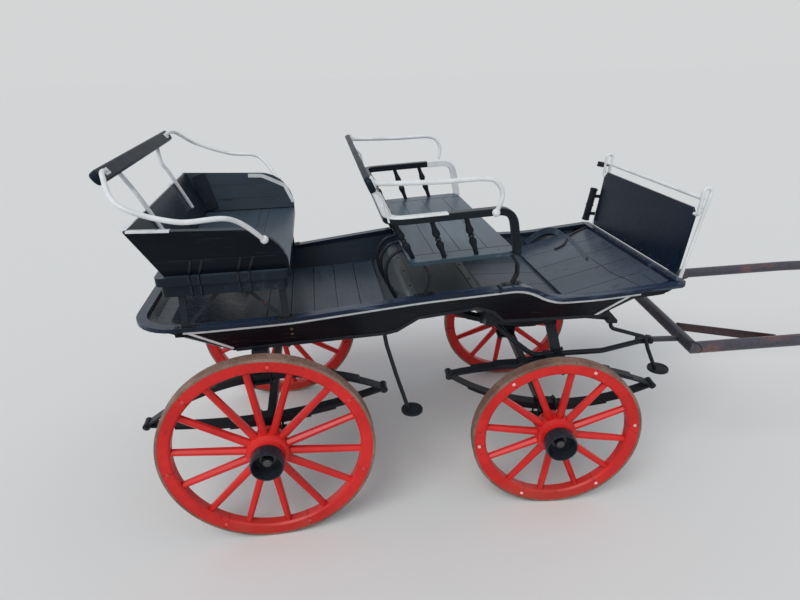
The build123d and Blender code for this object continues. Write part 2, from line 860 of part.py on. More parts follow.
def lower_plate():
    """The ring of the forecarriage with its cross bars and the hub of the kingpin."""
    top = ring_z - ring_thick - seat_gap
    low = top - ring_thick
    solid = flat_ring(low)
    reach = ring_radius
    half = cross_wide / 2
    solid += slab((kingpin_x - half, kingpin_x + half), (-reach, reach), (low - 12, low))
    solid += slab((kingpin_x + kingpin_back - 26, kingpin_x + kingpin_back + 26), (-320, 320), (low - 12, low))
    for side in (1, -1):
        solid += bar((kingpin_x, side * 180, low - 6), (FRONT_STEP[0][0], side * 280, low - 6), 12, 40, (0, 0, 1))
    solid += slab((FRONT_STEP[0][0] - 20, FRONT_STEP[0][0] + 20), (-322, 322), (low - 16, low - 2))
    hub = Pos(kingpin_x, 0, kingpin_foot_z + 4) * Cylinder(hub_radius, low - kingpin_foot_z - 4,
                                                           align=(Align.CENTER, Align.CENTER, Align.MIN))
    bore = Pos(kingpin_x, 0, 0) * Cylinder(kingpin_radius + bore_gap, 2000)
    return solid + hub - bore


body_nodes["turntable_upper"] = upper_plate()
fore_nodes["turntable_lower"] = lower_plate()


def side_iron():
    """The bent iron from the turntable over the spring to the shaft hinge, with its post and fork."""
    solid = bent_rod(SIDE_IRON, side_rod, (80, 80, 120))
    solid += bar(post_foot, post_head, post_wide, post_thick)
    top = SPRINGS["front"]["high_z"]
    solid += slab((wheelbase - spring_pad / 2, wheelbase + spring_pad / 2 + 20),
                  (SPRINGS["front"]["side"] - 42, SPRINGS["front"]["side"] + 26), (top, post_foot[2] + 16))
    inner = eye_wide / 2 + fork_gap * 0.3
    for low, high in ((-inner - fork_thick, -inner), (inner, inner + fork_thick)):
        cheek = slab((SIDE_IRON[-1][0] - 22, hinge_x), (hinge_side + low, hinge_side + high), (hinge_z - 11, hinge_z + 11))
        tip = Pos(hinge_x, hinge_side + (low + high) / 2, hinge_z) * Rot(90, 0, 0) * Cylinder(13, high - low)
        solid += cheek + tip
    solid += slab((SIDE_IRON[-1][0] - 26, SIDE_IRON[-1][0] - 4),
                  (hinge_side - inner - fork_thick, hinge_side + inner + fork_thick), (hinge_z - 11, hinge_z + 11))
    return solid + Pos(hinge_x, hinge_side, hinge_z) * Rot(90, 0, 0) * Cylinder(hinge_pin, 2 * (inner + fork_thick + 5))


iron = side_iron()
fore_nodes["side_iron_left"] = iron
fore_nodes["side_iron_right"] = mirror(iron, about=Plane.XZ)


# Shafts


def shaft_z(x):
    """Height of the shafts' centre line at x."""
    return hinge_z + 4 + shaft_rise * (x - crossbar_x)


def pipe(points, bends):
    """A hollow pipe along straight runs and arcs."""
    path = FilletPolyline(*points, radius=bends) if bends else Line(*points)
    return sweep(Plane(origin=path @ 0, z_dir=path % 0) * (Circle(shaft_radius) - Circle(shaft_radius - shaft_wall)),
                 path=path)


def mitre_side(keep_front):
    """The half space on one side of the mitre at the left corner of the shafts."""
    size = 400
    block = slab((0, size), (-size, size), (-size, size)) if keep_front else slab((-size, 0), (-size, size), (-size, size))
    return Pos(crossbar_x, shaft_half, shaft_z(crossbar_x)) * Rot(0, 0, 45) * block


def shaft_tube():
    """The left pipe with its mitred foot and a domed tip."""
    start = crossbar_x - shaft_radius - 6
    points = [(start, shaft_half), (shaft_bend_x, shaft_half), shaft_narrow, shaft_tip]
    path = [(x, y, shaft_z(x)) for x, y in points]
    behind = mitre_side(False)
    return pipe(path, shaft_bow) - behind + Pos(*path[-1]) * Sphere(shaft_radius)


def shaft_crossbar():
    """The pipe across the shafts with the hinge eyes welded to it."""
    reach = shaft_half + shaft_radius + 6
    z = shaft_z(crossbar_x)
    solid = pipe([(crossbar_x, -reach, z), (crossbar_x, reach, z)], None)
    front = mitre_side(True)
    solid = solid - front - mirror(front, about=Plane.XZ)
    half = eye_wide / 2
    for side in (1, -1):
        y = side * hinge_side
        arm = slab((hinge_x, crossbar_x - shaft_radius + 3), (y - half, y + half), (hinge_z - 9, hinge_z + 9))
        eye = Pos(hinge_x, y, hinge_z) * Rot(90, 0, 0) * Cylinder(eye_radius, eye_wide)
        hole = Pos(hinge_x, y, hinge_z) * Rot(90, 0, 0) * Cylinder(hinge_pin + bore_gap, 3 * eye_wide)
        solid += arm + eye
        solid -= hole
    return solid


def shaft_braces():
    """Flat braces between the crossbar and the shafts."""
    start = (crossbar_x + shaft_radius - 1, brace_on_bar, shaft_z(crossbar_x + shaft_radius))
    end = (brace_on_shaft, shaft_half - shaft_radius, shaft_z(brace_on_shaft))
    return both_sides(bar(start, end, brace_high, brace_thick, across=(0, 0, 1)))


tube = shaft_tube()
shaft_nodes = {
    "shaft_left": tube,
    "shaft_right": mirror(tube, about=Plane.XZ),
    "shaft_crossbar": shaft_crossbar(),
    "shaft_braces": shaft_braces(),
}

# What each piece is cut to where it meets the piece that carries it

SEATED = [
    (body_nodes, "foot_boards", ["rail", "body_side_left", "body_side_right", "body_bottom"]),
    (body_nodes, "dash_panel", ["rail", "foot_boards"]),
    (body_nodes, "dash_rods", ["dash_panel", "rail"]),
    (body_nodes, "whip_socket", ["dash_panel", "dash_rods"]),
    (body_nodes, "mid_step_left", ["body_side_left", "body_bottom"]),
    (body_nodes, "mid_step_right", ["body_side_right", "body_bottom"]),
    (body_nodes, "rear_handrails", ["rear_backrest", "rear_seat_side_left", "rear_seat_side_right"]),
    (body_nodes, "front_handrails", ["front_backrest", "arm_rail"]),
    (body_nodes, "rear_struts", ["rear_backrest", "rear_seat_back"]),
    (body_nodes, "front_struts", ["front_backrest", "arm_rail"]),
    (body_nodes, "arm_rail", ["front_seat_board"]),
    (body_nodes, "spindles", ["front_seat_board", "arm_rail"]),
    (body_nodes, "rear_seat_back", ["rear_seat_side_left", "rear_seat_side_right"]),
    (body_nodes, "rear_seat_legs", ["rail", "rear_seat_base"]),
    (body_nodes, "front_seat_legs", ["rail", "front_seat_board"]),
    (fore_nodes, "side_iron_left", ["turntable_lower"]),
    (fore_nodes, "side_iron_right", ["turntable_lower"]),
    (fore_nodes, "front_step_left", ["turntable_lower"]),
    (fore_nodes, "front_step_right", ["turntable_lower"]),
    (shaft_nodes, "shaft_braces", ["shaft_left", "shaft_right", "shaft_crossbar"]),
]
for nodes, name, carriers in SEATED:
    for carrier in carriers:
        nodes[name] -= nodes[carrier]

# Placing and export

turn = Pos(kingpin_x, 0, 0) * Rot(0, 0, steer_at_rest) * Pos(-kingpin_x, 0, 0)
tip_ahead = (shaft_tip[0] - kingpin_x) * cos(radians(steer_at_rest)) - shaft_tip[1] * sin(radians(steer_at_rest))
front_reach = kingpin_x + tip_ahead + shaft_radius
origin_x = (front_reach + rail_back) / 2
origin = Pos(-origin_x, 0, 0)

os.makedirs("parts", exist_ok=True)
for nodes, move in ((body_nodes, origin), (fore_nodes, origin * turn), (shaft_nodes, origin * turn)):
    for name, solid in nodes.items():
        export_step(move * solid, f"parts/{name}.step")
print("origin ahead of the rear axle", round(origin_x, 2))
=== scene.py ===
import json
import math

import bmesh
import bpy
from mathutils import Matrix, Vector


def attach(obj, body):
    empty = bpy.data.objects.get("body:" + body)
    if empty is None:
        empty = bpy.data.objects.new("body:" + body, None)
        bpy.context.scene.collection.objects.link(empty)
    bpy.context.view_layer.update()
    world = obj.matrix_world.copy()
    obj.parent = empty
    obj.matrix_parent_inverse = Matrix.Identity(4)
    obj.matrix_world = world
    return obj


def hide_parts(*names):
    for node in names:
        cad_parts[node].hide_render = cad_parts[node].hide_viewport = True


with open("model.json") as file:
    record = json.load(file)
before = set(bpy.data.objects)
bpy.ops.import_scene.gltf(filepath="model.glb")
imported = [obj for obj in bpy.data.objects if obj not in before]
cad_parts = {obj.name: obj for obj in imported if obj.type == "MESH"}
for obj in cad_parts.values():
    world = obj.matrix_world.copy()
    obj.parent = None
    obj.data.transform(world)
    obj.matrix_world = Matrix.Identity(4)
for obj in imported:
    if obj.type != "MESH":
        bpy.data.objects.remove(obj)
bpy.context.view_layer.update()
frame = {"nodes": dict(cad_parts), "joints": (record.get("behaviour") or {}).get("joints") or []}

# Looks of a small four-wheeled pony carriage. Metres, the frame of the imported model.
# Points are given from the rear axle, with the forecarriage straight: at(), BODY and FORE place them.

NODES = frame["nodes"]
JOINTS = {joint["name"]: joint for joint in frame["joints"]}
REAR_X = JOINTS["rear_left_spin"]["pos_m"][0]
KINGPIN = Vector(JOINTS["steering"]["pos_m"])
FRONT_AXIS = JOINTS["front_left_spin"]["axis"]
STEER = math.atan2(-FRONT_AXIS[0], FRONT_AXIS[1])

# Camera
CAMERA_AT = (0.262, -2.268, 1.760)
CAMERA_YAW = 0.1399
CAMERA_DOWN = 0.4201
CAMERA_ROLL = -0.0221
CAMERA_FOCUS = 562.7
PHOTO_WIDTH = 800
SENSOR = 36.0

# Light and ground
BACKDROP = (0.66, 0.665, 0.67)
SKY = (0.86, 0.90, 0.96)
SKY_STRENGTH = 0.62
SUN_COLOUR = (1.0, 0.985, 0.96)
SUN_STRENGTH = 1.35
SUN_ANGLE = 0.6
SUN_TURN = (38, -14, -20)
FLOOR = (0.74, 0.74, 0.73)
FLOOR_HALF = 40.0

# Materials


def scaled(numbers, factor):
    """Each of some numbers times a factor."""
    return tuple(number * factor for number in numbers)


class Nodes:
    """A node tree, with short ways to add to it."""

    def __init__(self, owner):
        owner.use_nodes = True
        self.tree = owner.node_tree
        self.tree.nodes.clear()

    def feed(self, target, value):
        """Sets a socket to a number or colour, or links it."""
        if isinstance(value, bpy.types.NodeSocket):
            self.tree.links.new(value, target)
        elif target.type == "RGBA":
            target.default_value = (*value, 1)
        else:
            target.default_value = value

    def add(self, kind, inputs=(), **settings):
        """A node with its settings, and its inputs fed by name or number."""
        node = self.tree.nodes.new(kind)
        for name, value in settings.items():
            setattr(node, name, value)
        for name, value in dict(inputs).items():
            self.feed(node.inputs[name], value)
        return node

    def math(self, operation, first, second=0.0):
        return self.add("ShaderNodeMath", {0: first, 1: second}, operation=operation).outputs[0]

    def times(self, first, second):
        return self.math("MULTIPLY", first, second)


class Paint(Nodes):
    """One material and the patterns that it is made of."""

    def __init__(self, name):
        self.material = bpy.data.materials.new(name)
        super().__init__(self.material)
        self.shader = self.add("ShaderNodeBsdfPrincipled")
        self.add("ShaderNodeOutputMaterial", {0: self.shader.outputs[0]})
        self.coordinates = self.add("ShaderNodeTexCoord").outputs["Object"]

    def noise(self, scale, detail, rough, stretch=(1, 1, 1), shift=(0, 0, 0), source=None):
        """A noise whose coordinates are scaled along each axis, so that it runs along the grain."""
        place = self.add("ShaderNodeMapping", {"Vector": source or self.coordinates, "Scale": stretch,
                                               "Location": shift})
        return self.add("ShaderNodeTexNoise", {"Vector": place.outputs[0], "Scale": scale, "Detail": detail,
                                               "Roughness": rough}).outputs["Fac"]

    def step(self, value, low, high, start=0.0, end=1.0):
        """A smooth step from start to end as the value passes from low to high."""
        inputs = {"Value": value, "From Min": low, "From Max": high, "To Min": start, "To Max": end}
        return self.add("ShaderNodeMapRange", inputs, interpolation_type="SMOOTHSTEP").outputs["Result"]

    def mix(self, share, first, second):
        """A colour between two, by a share from 0 to 1."""
        return self.add("ShaderNodeMix", {0: share, 6: first, 7: second}, data_type="RGBA").outputs[2]

    def drift(self, value, colour, first, second, low=0.3, high=0.7):
        """A colour that goes from one multiple of itself to another as the value rises."""
        return self.mix(self.step(value, low, high), scaled(colour, first), scaled(colour, second))

    def axis(self, name, source=None):
        """One coordinate by its letter."""
        return self.add("ShaderNodeSeparateXYZ", {0: source or self.coordinates}).outputs[name]

    def upward(self, low=0.25, high=0.85):
        """1 where the surface looks up, 0 where it is upright or looks down."""
        normal = self.add("ShaderNodeNewGeometry").outputs["Normal"]
        return self.step(self.axis("Z", normal), low, high)

    def finish(self, colour, roughness, height=None, bump=0.2, distance=0.001, metal=0.0, shine=0.5):
        """Feeds the shader, with a bump from the height, and gives the material."""
        inputs = {"Base Color": colour, "Roughness": roughness, "Metallic": metal,
                  "Specular IOR Level": shine}
        if height is not None:
            inputs["Normal"] = self.add("ShaderNodeBump", {"Strength": bump, "Distance": distance,
                                                           "Height": height}).outputs[0]
        for name, value in inputs.items():
            self.feed(self.shader.inputs[name], value)
        return self.material


def worn_paint(name, colour, worn, grain, gloss, wear, dust_and_sheen=None, chips=(0.02, 0.02, 0.02),
               leaning=(0.25, 0.85), shine=(0.16, 0.42)):
    """Paint over wood: colour drift, rubbed patches along the grain, cracks, and dust mixed with painted sky
    sheen on what looks up.
    """
    paint = Paint(name)
    fine = paint.noise(38, 6, 0.62, grain)
    wide = paint.noise(3.2, 5, 0.6, tuple(0.45 + 0.55 * g for g in grain), (4, 1, 7))
    both = paint.math("ADD", paint.times(fine, 0.5), paint.times(wide, 0.5))
    rubbed = paint.step(both, 0.60 - 0.16 * wear, 0.70 - 0.10 * wear)
    cracks = paint.step(paint.noise(60, 3, 0.5, scaled(grain, 1.4), (1, 8, 3)), 0.63, 0.70)
    tone = paint.drift(wide, colour, 0.8, 1.2)
    tone = paint.mix(paint.times(rubbed, 0.85 * wear), tone, worn)
    # Dust and painted sky sheen: a paler bluish colour where the surface looks up, in patches by the wide
    # noise
    if dust_and_sheen:
        share = paint.times(paint.upward(*leaning), paint.step(wide, 0.2, 0.65, 0.5, 1.0))
        tone = paint.mix(paint.times(share, dust_and_sheen[3]), tone, dust_and_sheen[:3])
    tone = paint.mix(paint.times(cracks, 0.75), tone, chips)
    rough = paint.math("ADD", paint.times(fine, 0.25), gloss - 0.08)
    height = paint.math("SUBTRACT", fine, paint.times(cracks, 0.8))
    return paint.finish(tone, rough, height, 0.30, 0.0012, shine=paint.step(paint.upward(), 0.0, 1.0, *shine))


def red_paint(name, centre, felloe_inner):
    """Gloss red on a wheel; the grain runs round the felloes and along the spokes."""
    paint = Paint(name)
    x, y, z = [paint.math("SUBTRACT", paint.axis(letter), middle) for letter, middle in zip("XYZ", centre)]
    radius = paint.math("SQRT", paint.math("ADD", paint.times(x, x), paint.times(z, z)))
    polar = paint.add("ShaderNodeCombineXYZ", {0: paint.math("ARCTAN2", z, x), 1: radius, 2: y}).outputs[0]
    around = paint.noise(9, 6, 0.6, (1.0, 9.0, 9.0), source=polar)
    along = paint.noise(9, 6, 0.6, (9.0, 1.6, 9.0), source=polar)
    on_rim = paint.step(radius, felloe_inner - 0.004, felloe_inner + 0.002)
    grain = paint.add("ShaderNodeMix", {0: on_rim, 2: along, 3: around}).outputs[0]
    wide = paint.noise(5, 4, 0.6)
    tone = paint.mix(paint.step(wide, 0.35, 0.68), (0.55, 0.008, 0.006), (0.71, 0.020, 0.017))
    # Painted highlight: faces that look up are mixed a quarter of the way to a paler red
    tone = paint.mix(paint.times(paint.upward(), 0.25), tone, (0.80, 0.07, 0.07))
    bruise = paint.step(paint.noise(26, 5, 0.66, (1, 1, 1), (3, 5, 1)), 0.60, 0.68)
    tone = paint.mix(paint.times(bruise, paint.times(on_rim, 0.55)), tone, (0.30, 0.012, 0.012))
    chips = paint.step(paint.noise(44, 4, 0.7, (1, 1, 1), (9, 2, 4)), 0.685, 0.70)
    chips = paint.times(chips, paint.step(radius, felloe_inner - 0.03, felloe_inner + 0.01, 0.25, 1.0))
    tone = paint.mix(chips, tone, (0.05, 0.022, 0.018))
    splash = paint.times(paint.step(paint.axis("Z"), 0.16, 0.0), paint.step(wide, 0.30, 0.62))
    tone = paint.mix(paint.times(splash, 0.5), tone, (0.20, 0.06, 0.03))
    height = paint.math("SUBTRACT", grain, chips)
    return paint.finish(tone, paint.step(wide, 0.3, 0.7, 0.26, 0.44), height, 0.22, 0.0012, shine=0.34)


def iron_paint(name, colour, rust, share, gloss=0.36, scale=18):
    """Black paint on iron with rust that comes through in spots."""
    paint = Paint(name)
    wide = paint.noise(scale, 6, 0.66)
    fine = paint.noise(150, 4, 0.6)
    spots = paint.step(wide, 0.70 - 0.3 * share, 0.78 - 0.3 * share)
    tone = paint.drift(fine, colour, 0.75, 1.35)
    tone = paint.mix(spots, tone, paint.drift(fine, rust, 1.0, 0.55, 0.35, 0.65))
    rough = paint.math("ADD", paint.times(spots, 0.35), gloss)
    height = paint.math("ADD", fine, paint.times(wide, 1.5))
    return paint.finish(tone, rough, height, 0.28, 0.0009, shine=0.22)


def tyre_rust():
    """A worn iron band: even brown rust, rubbed paler on the tread."""
    paint = Paint("tyre_rust")
    wide = paint.noise(7, 6, 0.65)
    fine = paint.noise(120, 5, 0.65)
    tone = paint.mix(paint.step(wide, 0.3, 0.7), (0.16, 0.085, 0.060), (0.33, 0.21, 0.165))
    tone = paint.mix(paint.step(fine, 0.52, 0.70), tone, (0.10, 0.05, 0.035))
    return paint.finish(tone, paint.step(fine, 0.3, 0.7, 0.55, 0.8), fine, 0.35, 0.0010, metal=0.15)


def plain_paint(name, colour, gloss):
    """One colour with a little drift in tone and gloss."""
    paint = Paint(name)
    wide = paint.noise(60, 4, 0.6)
    rough = paint.step(wide, 0.3, 0.7, gloss - 0.08, gloss + 0.10)
    return paint.finish(paint.drift(wide, colour, 0.75, 1.25), rough, wide, 0.2, 0.0006)


def white_paint():
    """White enamel with fine rust marks and grime."""
    paint = Paint("white_enamel")
    wide = paint.noise(14, 5, 0.6)
    marks = paint.step(paint.noise(70, 4, 0.65, shift=(2, 2, 2)), 0.69, 0.72)
    tone = paint.mix(paint.step(wide, 0.35, 0.75), (0.80, 0.82, 0.83), (0.62, 0.65, 0.66))
    tone = paint.mix(marks, tone, (0.20, 0.13, 0.09))
    return paint.finish(tone, 0.32, marks, 0.2, 0.0006)


def pipe_paint(name, colour, rust, share):
    """A thin dark primer on pipe, worn through to rust in long patches."""
    paint = Paint(name)
    wide = paint.noise(3.2, 5, 0.62, (1, 2, 2), (5, 0, 0))
    fine = paint.noise(90, 5, 0.66)
    worn = paint.step(wide, 0.62 - 0.3 * share, 0.72 - 0.3 * share)
    red = paint.drift(fine, rust, 1.0, 0.5, 0.42, 0.62)
    tone = paint.mix(paint.times(worn, 0.9), paint.drift(fine, colour, 0.7, 1.3), red)
    return paint.finish(tone, paint.step(fine, 0.3, 0.7, 0.30, 0.5), fine, 0.25, 0.0008, metal=0.1)


# The grain's stretch: small along the grain
ALONG_X = (0.09, 1.0, 1.0)
ALONG_Y = (1.0, 0.09, 1.0)
GRAIN_NONE = (0.6, 0.6, 0.6)

# A worn paint has a name, a colour, a rubbed colour, a grain, gloss, wear, the colour and share of its dust
# and painted sky sheen on what looks up, and the colour of its chips
LOOKS = {
    # The body's inner faces lean up and take the painted sky sheen; its outer faces look down and stay black
    "body": worn_paint("body_black", (0.005, 0.007, 0.010), (0.04, 0.05, 0.065), ALONG_X, 0.22, 0.10,
                       (0.022, 0.034, 0.052, 0.8), leaning=(0.05, 0.35), shine=(0.12, 0.30)),
    "rail": worn_paint("rail_blue_black", (0.008, 0.016, 0.034), (0.20, 0.28, 0.38), ALONG_X, 0.20, 0.45,
                       (0.026, 0.050, 0.100, 0.5)),
    "floor_across": worn_paint("floor_boards_worn", (0.028, 0.045, 0.066), (0.10, 0.135, 0.17), ALONG_Y, 0.32,
                               0.6, (0.055, 0.080, 0.108, 0.4), (0.012, 0.014, 0.016)),
    "floor_along": worn_paint("front_boards_worn", (0.028, 0.044, 0.066), (0.10, 0.135, 0.175), ALONG_X, 0.30,
                              0.5, (0.07, 0.09, 0.12, 0.4), (0.010, 0.012, 0.014)),
    "footboard": worn_paint("footboard_gloss", (0.029, 0.046, 0.070), (0.10, 0.14, 0.18), ALONG_X, 0.24, 0.4,
                            (0.065, 0.09, 0.125, 0.5), (0.010, 0.012, 0.016)),
    "seat": worn_paint("seat_board_worn", (0.036, 0.064, 0.088), (0.18, 0.26, 0.31), ALONG_Y, 0.28, 0.55,
                       (0.060, 0.100, 0.138, 0.6), (0.03, 0.035, 0.04)),
    "tub": worn_paint("tub_slate", (0.011, 0.017, 0.025), (0.07, 0.09, 0.11), ALONG_Y, 0.27, 0.35,
                      (0.058, 0.088, 0.122, 0.8), shine=(0.11, 0.42)),
    "tub_side": worn_paint("tub_side_slate", (0.005, 0.008, 0.012), (0.04, 0.055, 0.07), ALONG_X, 0.25, 0.3,
                           (0.046, 0.064, 0.084, 0.9), leaning=(0.02, 0.30), shine=(0.08, 0.40)),
    "riser": worn_paint("riser_grey", (0.032, 0.043, 0.050), (0.10, 0.12, 0.13), ALONG_Y, 0.36, 0.5,
                        (0.050, 0.066, 0.078, 0.4), (0.012, 0.013, 0.015), shine=(0.14, 0.24)),
    "dash": worn_paint("dash_blue_black", (0.004, 0.011, 0.026), (0.03, 0.045, 0.07), GRAIN_NONE, 0.24, 0.2),
    "bar": worn_paint("bar_blue_black", (0.007, 0.013, 0.024), (0.04, 0.06, 0.085), GRAIN_NONE, 0.36, 0.2,
                      shine=(0.10, 0.14)),
    "black_wood": worn_paint("black_wood", (0.007, 0.011, 0.016), (0.05, 0.07, 0.09), ALONG_X, 0.26, 0.15,
                             (0.022, 0.036, 0.052, 0.3)),
    "worn_edge": worn_paint("edging_worn", (0.045, 0.056, 0.064), (0.17, 0.20, 0.22), ALONG_Y, 0.36, 0.9),
    "iron": iron_paint("black_iron", (0.010, 0.013, 0.018), (0.09, 0.05, 0.035), 0.22),
    "grey_iron": iron_paint("grey_iron", (0.085, 0.080, 0.078), (0.10, 0.055, 0.035), 0.4),
    "cap": iron_paint("cap_black", (0.020, 0.024, 0.033), (0.07, 0.055, 0.05), 0.10, 0.30, 26),
    "tyre": tyre_rust(),
    "white": white_paint(),
    "crack": plain_paint("felloe_joint_dark", (0.055, 0.004, 0.004), 0.7),
    "dull_bolt": plain_paint("bolt_red", (0.62, 0.045, 0.040), 0.40),
    "bright_bolt": plain_paint("bolt_bright", (0.80, 0.42, 0.42), 0.30),
    "rust": plain_paint("rusty_bolt", (0.11, 0.055, 0.035), 0.7),
    "seam": plain_paint("seam_dark", (0.006, 0.007, 0.009), 0.7),
    # Painted shadow: the colour of the shadow line along the foot boards' far edge
    "shadow_line_dark": plain_paint("dark_shadow_line", (0.020, 0.014, 0.014), 0.5),
    "shaft": pipe_paint("shaft_primer", (0.055, 0.052, 0.072), (0.17, 0.085, 0.085), 0.42),
    "crossbar": pipe_paint("crossbar_primer", (0.036, 0.035, 0.052), (0.080, 0.045, 0.050), 0.15),
    "brace": pipe_paint("brace_brown", (0.046, 0.024, 0.028), (0.080, 0.034, 0.034), 0.35),
}

# Looks of the carried-over nodes, by how their names begin; all others are black iron
LOOK_OF = {
    "tyre_": "tyre", "hub_cap_": "cap", "body_": "body", "rear_floor_boards": "floor_across",
    "front_floor_boards": "floor_along", "foot_boards": "footboard", "dash_panel": "dash",
    "dash_rods": "white", "rear_seat_base": "tub", "rear_seat_back": "tub", "rear_seat_side": "tub_side",
    "shaft_left": "shaft", "shaft_right": "shaft", "shaft_crossbar": "crossbar", "shaft_braces": "brace",
}

for name, node in NODES.items():
    looks = [look for start, look in LOOK_OF.items() if name.startswith(start)]
    node.data.materials.clear()
    node.data.materials.append(LOOKS[looks[0] if looks else "iron"])

# Places and outlines

UP = Vector((0, 0, 1))
DOWN = Vector((0, 0, -1))
AHEAD = Vector((1, 0, 0))
ACROSS = Vector((0, 1, 0))
SIDES = (("left", 1), ("right", -1))
SHARP = math.radians(35)


def at(x, y, z):
    """A point given from the rear axle, in the frame."""
    return Vector((REAR_X + x, y, z))


def moved(x=0.0, y=0.0, z=0.0):
    return Matrix.Translation((x, y, z))


def tipped(degrees):
    return Matrix.Rotation(math.radians(degrees), 4, "Y")


BODY = moved(REAR_X)
FORE = moved(KINGPIN.x) @ Matrix.Rotation(STEER, 4, "Z") @ moved(REAR_X - KINGPIN.x)


def facing(point, normal, turn=0.0):
    """A place at the point whose Z looks along the normal."""
    return (Matrix.Translation(point) @ Vector(normal).to_track_quat("Z", "Y").to_matrix().to_4x4()
            @ Matrix.Rotation(turn, 4, "Z"))


def framed(point, along, normal):
    """A place at the point with X along one direction and Z near the normal."""
    x = Vector(along).normalized()
    y = Vector(normal).cross(x).normalized()
    return Matrix.Translation(point) @ Matrix((x, y, x.cross(y))).transposed().to_4x4()


def touch(node, origin, toward):
    """Where a line from the origin first meets a node, and the surface's normal there."""
    found, point, normal, _ = NODES[node].ray_cast(origin, Vector(toward).normalized())
    if not found:
        raise ValueError(f"nothing of {node} lies that way from {tuple(origin)}")
    return point, normal


def grown(points, place):
    """Points brought to their place."""
    return [place @ Vector(point) for point in points]


def ring_of(radius, sides):
    """The points of a circle in a plane."""
    return [(radius * math.cos(2 * math.pi * i / sides), radius * math.sin(2 * math.pi * i / sides))
            for i in range(sides)]


def flat_section(wide, thick):
    """The outline of a flat strip, its width aside."""
    return [(-wide / 2, -thick / 2), (wide / 2, -thick / 2), (wide / 2, thick / 2), (-wide / 2, thick / 2)]


def height_on(line, x):
    """Height at x of a line of (x, z) points."""
    for (x0, z0), (x1, z1) in zip(line, line[1:]):
        if x0 <= x <= x1:
            return z0 + (z1 - z0) * (x - x0) / (x1 - x0)


def filleted(points, radius, steps=8):
    """A line through the points with its corners rounded."""
    line = [points[0]]
    for a, b, c in zip(points, points[1:], points[2:]):
        to_a, to_c = (a - b).normalized(), (c - b).normalized()
        back = radius / math.tan(to_a.angle(to_c) / 2)
        start, end = b + to_a * back, b + to_c * back
        for i in range(steps + 1):
            t = i / steps
            line.append(start * (1 - t) ** 2 + b * 2 * t * (1 - t) + end * t * t)
    return line + [points[-1]]


def smooth(points, steps=8):
    """A smooth line through the points."""
    line = []
    padded = [points[0]] + list(points) + [points[-1]]
    for a, b, c, d in zip(padded, padded[1:], padded[2:], padded[3:]):
        for i in range(steps):
            t = i / steps
            line.append(0.5 * ((2 * b) + (c - a) * t + (2 * a - 5 * b + 4 * c - d) * t * t
                               + (3 * b - a - 3 * c + d) * t ** 3))
    return line + [points[-1]]


# Pieces: what rides on a body


def put(name, mesh, material, body, node=None, bevel=0.0):
    """Puts a mesh in the scene, riding on its body, and standing for a node where one is named."""
    mesh.materials.append(material)
    made = bpy.data.objects.new(name, mesh)
    bpy.context.scene.collection.objects.link(made)
    if bevel:
        edge = made.modifiers.new("soft_edges", "BEVEL")
        edge.width = bevel
        edge.segments = 2
        edge.limit_method = "ANGLE"
        edge.angle_limit = SHARP
    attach(made, body)
    if node:
        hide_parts(node)


def copied(node, name, change, material, body):
    """A copy of a node's mesh, changed in place, that stands for the node."""
    mesh = NODES[node].data.copy()
    mesh.transform(change)
    mesh.materials.clear()
    put(name, mesh, material, body, node)


